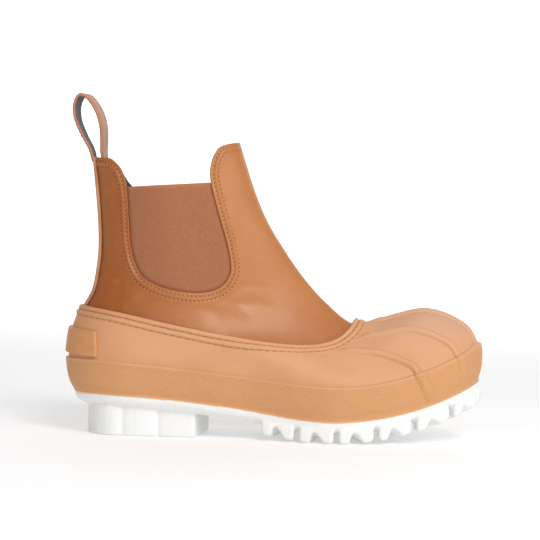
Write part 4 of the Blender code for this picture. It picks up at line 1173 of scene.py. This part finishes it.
def skin_of(field, low, step):
    """Surface where a field of distances is zero: one point in each cell that it passes, in the middle of
    its crossings with the cell's edges, and one quad round each grid edge that it crosses."""
    inside = field < 0.0
    steps = np.eye(3, dtype=int)
    corners = np.array([(i, j, k) for i in (0, 1) for j in (0, 1) for k in (0, 1)])
    cells = np.array(field.shape) - 1
    spans = [tuple(slice(start, start + count) for start, count in zip(corner, cells)) for corner in corners]
    held = sum(inside[span].astype(int) for span in spans)
    cell = np.argwhere((held > 0) & (held < len(corners)))
    number = np.full(cells, -1)
    number[tuple(cell.T)] = np.arange(len(cell))
    total = np.zeros(cell.shape)
    hits = np.zeros((len(cell), 1))
    quads = []
    for axis in range(3):
        for corner in corners[corners[:, axis] == 0]:
            start = field[tuple((cell + corner).T)]
            end = field[tuple((cell + corner + steps[axis]).T)]
            crossed = (start < 0.0) != (end < 0.0)
            share = np.where(crossed, start / np.where(crossed, start - end, 1.0), 0.0)
            total += crossed[:, None] * (corner + share[:, None] * steps[axis])
            hits += crossed[:, None]
        edge = np.argwhere(np.diff(inside, axis=axis))
        second, third = [other for other in range(3) if other != axis]
        edge = edge[(edge[:, second] > 0) & (edge[:, third] > 0)]
        edge = edge[(edge[:, second] < cells[second]) & (edge[:, third] < cells[third])]
        around = [edge, edge - steps[second], edge - steps[second] - steps[third], edge - steps[third]]
        quads.append(np.stack([number[tuple(place.T)] for place in around], axis=-1))
    return low + step * (cell + total / hits), np.concatenate(quads)


half_turn = np.linspace(0.0, PI, SOLE_SAMPLES)
sole_outer = sole_ring(half_turn, 0.0)
sole_inner = sole_ring(-half_turn, 0.0)
sole_both = np.concatenate([sole_outer, sole_inner])
sole_low = np.array([sole_both[:, 0].min(), sole_both[:, 1].min(), 0.0]) - SOLE_ROOM_LOW
sole_count = np.ceil((sole_both.max(axis=0) + SOLE_ROOM_HIGH - sole_low) / SOLE_GRID).astype(int)
grid_x, grid_y, grid_z = (sole_low[k] + SOLE_GRID * np.arange(sole_count[k]) for k in range(3))
plan_x = grid_x[:, None]
plan_y = grid_y[None, :]
level_z = grid_z[None, None, :]
inset = inset_in(sole_outer[:, :2], sole_inner[:, :2], plan_x, plan_y)
outer_top = np.interp(plan_x, sole_outer[:, 0], sole_outer[:, 2])
inner_top = np.interp(plan_x, sole_inner[:, 0], sole_inner[:, 2])
band_top = outer_top + (inner_top - outer_top) * smooth(0.5 + plan_y / SOLE_SIDES_EASE)
band_foot = band_top - SOLE_BAND * np.interp(inset / SOLE_BAND, *np.array(SOLE_EDGE).T)
sole_field = np.maximum(level_z - band_top[..., None], SOLE_UNDER_SLOPE * (band_foot[..., None] - level_z))
sole_field = np.maximum(sole_field, -inset[..., None])
heel_x = np.concatenate([
    HEEL_BACK + HEEL_ROUND * (1.0 - np.cos(np.linspace(0.0, PI / 2, HEEL_ROUND_STEPS))),
    np.arange(LOBE_FROM, HEEL_BREAST - HEEL_CORNER, LOBE_STEP)[1:],
    HEEL_BREAST - HEEL_CORNER * (1.0 - np.sin(np.linspace(0.0, PI / 2, HEEL_CORNER_STEPS))),
])
lobe = np.abs(np.sin(PI * (heel_x - LOBE_FROM) / LOBE_PITCH)) ** LOBE_ROUND
lobe = np.where(np.abs(heel_x - LOBE_FROM - LOBE_PITCH / 2) > LOBE_PITCH, 1.0, lobe)
heel_half = HEEL_HALF_WIDTH * round_cap((heel_x - HEEL_BACK) / HEEL_ROUND)
heel_half = heel_half + LOBE_DEPTH * (lobe - 1.0) * smooth((heel_x - HEEL_BACK) / LOBE_EASE)
heel_half = heel_half - HEEL_CORNER * (1.0 - round_cap((HEEL_BREAST - heel_x) / HEEL_CORNER))
slant = BREAST_SLANT * smooth((heel_x - LOBE_FROM) / (HEEL_BREAST - LOBE_FROM))
heel_outer = np.stack([heel_x - slant - BOOT_LENGTH / 2, HEEL_LINE_Y - heel_half], axis=-1)
heel_inner = np.stack([heel_x + slant - BOOT_LENGTH / 2, HEEL_LINE_Y + heel_half], axis=-1)
breast = np.linspace(heel_outer[-1], heel_inner[-1], BREAST_STEPS)[1:-1]
heel_inset = inset_in(np.concatenate([heel_outer, breast]), heel_inner, plan_x, plan_y)[..., None]
heel_field = rounded([-heel_inset, -level_z, level_z - HEEL_TOP], HEEL_EDGE)
sole_field = eased(sole_field, heel_field, HEEL_FILLET)
over_ground = level_z - ground(plan_x)[..., None]
for side, edge in ((1.0, sole_outer), (-1.0, sole_inner)):
    run = lengths(edge[:, :2])
    start = np.interp(LUG_FROM - BOOT_LENGTH / 2, edge[:, 0], run)
    for share, lug_length, lug_depth in LUGS:
        length = lug_length * MM
        depth = lug_depth * MM
        middle = start + share * (run[-1] - start)
        behind, spot, ahead = along_line([middle - LUG_WAY, middle, middle + LUG_WAY], run, edge[:, :2])
        forward = unit(ahead - behind)
        inward = np.array([-forward[1], forward[0]]) * side
        out = LUG_OUT + (LUG_TOE_OUT - LUG_OUT) * smooth((share - LUG_TOE_FROM) / LUG_TOE_EASE)
        at = spot - inward * out
        room = np.array([-LUG_ROOM, LUG_ROOM]) * length
        close_x = slice(*np.searchsorted(grid_x, at[0] + room))
        close_y = slice(*np.searchsorted(grid_y, at[1] + room))
        away_x = plan_x[close_x] - at[0]
        away_y = plan_y[:, close_y] - at[1]
        along = (away_x * forward[0] + away_y * forward[1])[..., None]
        deep = (away_x * inward[0] + away_y * inward[1])[..., None]
        deep_share = np.clip(deep / depth, 0.0, 1.0)
        height = over_ground[close_x]
        half = length / 2 * (1.0 - (1.0 - LUG_INNER) * deep_share)
        block = rounded([np.abs(along) - half, -deep, deep - depth, -height, height - LUG_TOP], LUG_ROUND)
        aside = along / length - TUNNEL_AT
        reach = np.where(aside < 0.0, -aside / TUNNEL_BACK, aside / TUNNEL_FRONT)
        reach = reach / (1.0 - TUNNEL_NARROWS * deep_share)
        bend = np.where(aside < 0.0, TUNNEL_BEND_BACK, TUNNEL_BEND_FRONT)
        crown = TUNNEL_HIGH + (TUNNEL_LOW - TUNNEL_HIGH) * deep_share
        roof = crown * lug_depth / TUNNEL_FULL_DEPTH * (1.0 - reach**bend)
        block = -eased(-block, TUNNEL_SLOPE * (height - roof), TUNNEL_FILLET)
        sole_field[close_x, close_y] = eased(sole_field[close_x, close_y], block, FILLET)
white_rubber = Finish("white_rubber", Specular_IOR_Level=0.4)
white_bloom = white_rubber.noise(3.0 * MM, 4.0)
white_rubber.paint(
    Base_Color=white_rubber.mix(tone(237, 237, 236), tone(234, 234, 233), white_bloom.step(0.35, 0.75)),
    Roughness=0.48 + 0.12 * white_bloom,
    Normal=white_rubber.bump(white_bloom, 0.01 * MM),
)
outsole = make_piece("outsole_rubber", *skin_of(sole_field, sole_low, SOLE_GRID), white_rubber)
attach(outsole, "root")
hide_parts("outsole")

# Studio: a sheet of white acrylic, lit from behind, that runs flat under the boot and sweeps up behind it,
# with a soft key light above the toe, a wide fill, weak lights at the toe and overhead, and a pale room.
# The camera stands at the photograph's angle, a little to the toe side and rolled a little.
FLOOR_HALF = 4.0
SWEEP_FROM = 2.4
SWEEP_RADIUS = 0.6
SWEEP_TOP = 3.0
SWEEP_STEPS = 25
SWEEP_GLOW = (0.75, 0.75, 0.75, 1.0)
TABLE_GLOW = (0.26, 0.26, 0.26, 1.0)
GLOW_FROM = 0.3
ROOM_LIGHT = 0.22
FRAME_PIXELS = 540
SENSOR = 36.0
CAMERA_TURN = math.radians(3.0)
CAMERA_ROLL = math.radians(1.3)
CAMERA_DISTANCE = 1.45
CAMERA_HEIGHT = 0.157
CAMERA_TARGET = np.array([-0.00385, 0.0, 0.115])
METRES_PER_PIXEL = 0.000695
# Soft lights: name, place, aim, width, height, watts
LIGHTS = (
    ("key", (0.8, -1.75, 1.6), (0.0, 0.0, 0.08), 0.9, 0.9, 26.5),
    ("fill", (-0.4, -2.4, 1.0), (0.0, 0.0, 0.10), 1.8, 1.2, 12.0),
    ("toe", (1.5, -0.9, 0.6), (0.06, 0.0, 0.08), 1.2, 1.0, 7.5),
    ("top", (0.1, 0.2, 2.0), (0.0, 0.0, 0.0), 1.4, 1.0, 8.0),
)
floor_paint = Finish("floor_paint", Roughness=0.85, Specular_IOR_Level=0.2, Emission_Strength=1.0)
floor_back = floor_paint.axis("Y").step(GLOW_FROM, SWEEP_FROM)
floor_paint.paint(
    Base_Color=floor_paint.mix(tone(232, 232, 232), tone(228, 228, 228), floor_paint.noise(0.6)),
    Emission_Color=floor_paint.mix(TABLE_GLOW, SWEEP_GLOW, floor_back),
)
sweep_turn = np.linspace(0.0, PI / 2, SWEEP_STEPS)
sweep_end = SWEEP_FROM + SWEEP_RADIUS
sweep_y = np.concatenate([[-FLOOR_HALF], SWEEP_FROM + SWEEP_RADIUS * np.sin(sweep_turn), [sweep_end]])
sweep_z = np.concatenate([[0.0], SWEEP_RADIUS * (1.0 - np.cos(sweep_turn)), [SWEEP_TOP]])
sweep_sides = [np.full(sweep_y.shape, x) for x in (-FLOOR_HALF, FLOOR_HALF)]
floor_grid = np.stack([np.stack([x, sweep_y, sweep_z], axis=-1) for x in sweep_sides])
floor = make_piece("floor", floor_grid, grid_quads(floor_grid), floor_paint)


def stand(name, data, place, target, roll=0.0):
    """Light or camera at a place, with its -Z turned to the target and +Y up, rolled about the view."""
    ahead = unit(np.array(target, float) - np.array(place, float))
    level = unit(np.cross(ahead, (0.0, 0.0, 1.0)))
    upright = np.cross(level, ahead)
    right = level * math.cos(roll) + upright * math.sin(roll)
    up = upright * math.cos(roll) - level * math.sin(roll)
    matrix = np.eye(4)
    matrix[:3] = np.stack([right, up, -ahead, place], axis=1)
    made = bpy.data.objects.new(name, data)
    made.matrix_world = Matrix(matrix)
    bpy.context.scene.collection.objects.link(made)
    return made


for name, place, target, width, height, watts in LIGHTS:
    lamp = bpy.data.lights.new(name, "AREA")
    lamp.shape = "RECTANGLE"
    lamp.size = width
    lamp.size_y = height
    lamp.energy = watts
    stand(name, lamp, place, target)
room = bpy.data.worlds.new("room")
room.use_nodes = True
room.node_tree.nodes["Background"].inputs["Color"].default_value = (1.0, 1.0, 1.0, 1.0)
room.node_tree.nodes["Background"].inputs["Strength"].default_value = ROOM_LIGHT
bpy.context.scene.world = room
bpy.context.scene.view_settings.view_transform = "Standard"
camera = bpy.data.cameras.new("camera")
camera.sensor_width = SENSOR
camera.lens = CAMERA_DISTANCE / METRES_PER_PIXEL / FRAME_PIXELS * SENSOR
camera_way = np.array([math.sin(CAMERA_TURN), -math.cos(CAMERA_TURN), 0.0])
camera_place = CAMERA_TARGET + CAMERA_DISTANCE * camera_way
camera_place[2] = CAMERA_HEIGHT
bpy.context.scene.camera = stand("camera", camera, camera_place, CAMERA_TARGET, CAMERA_ROLL)
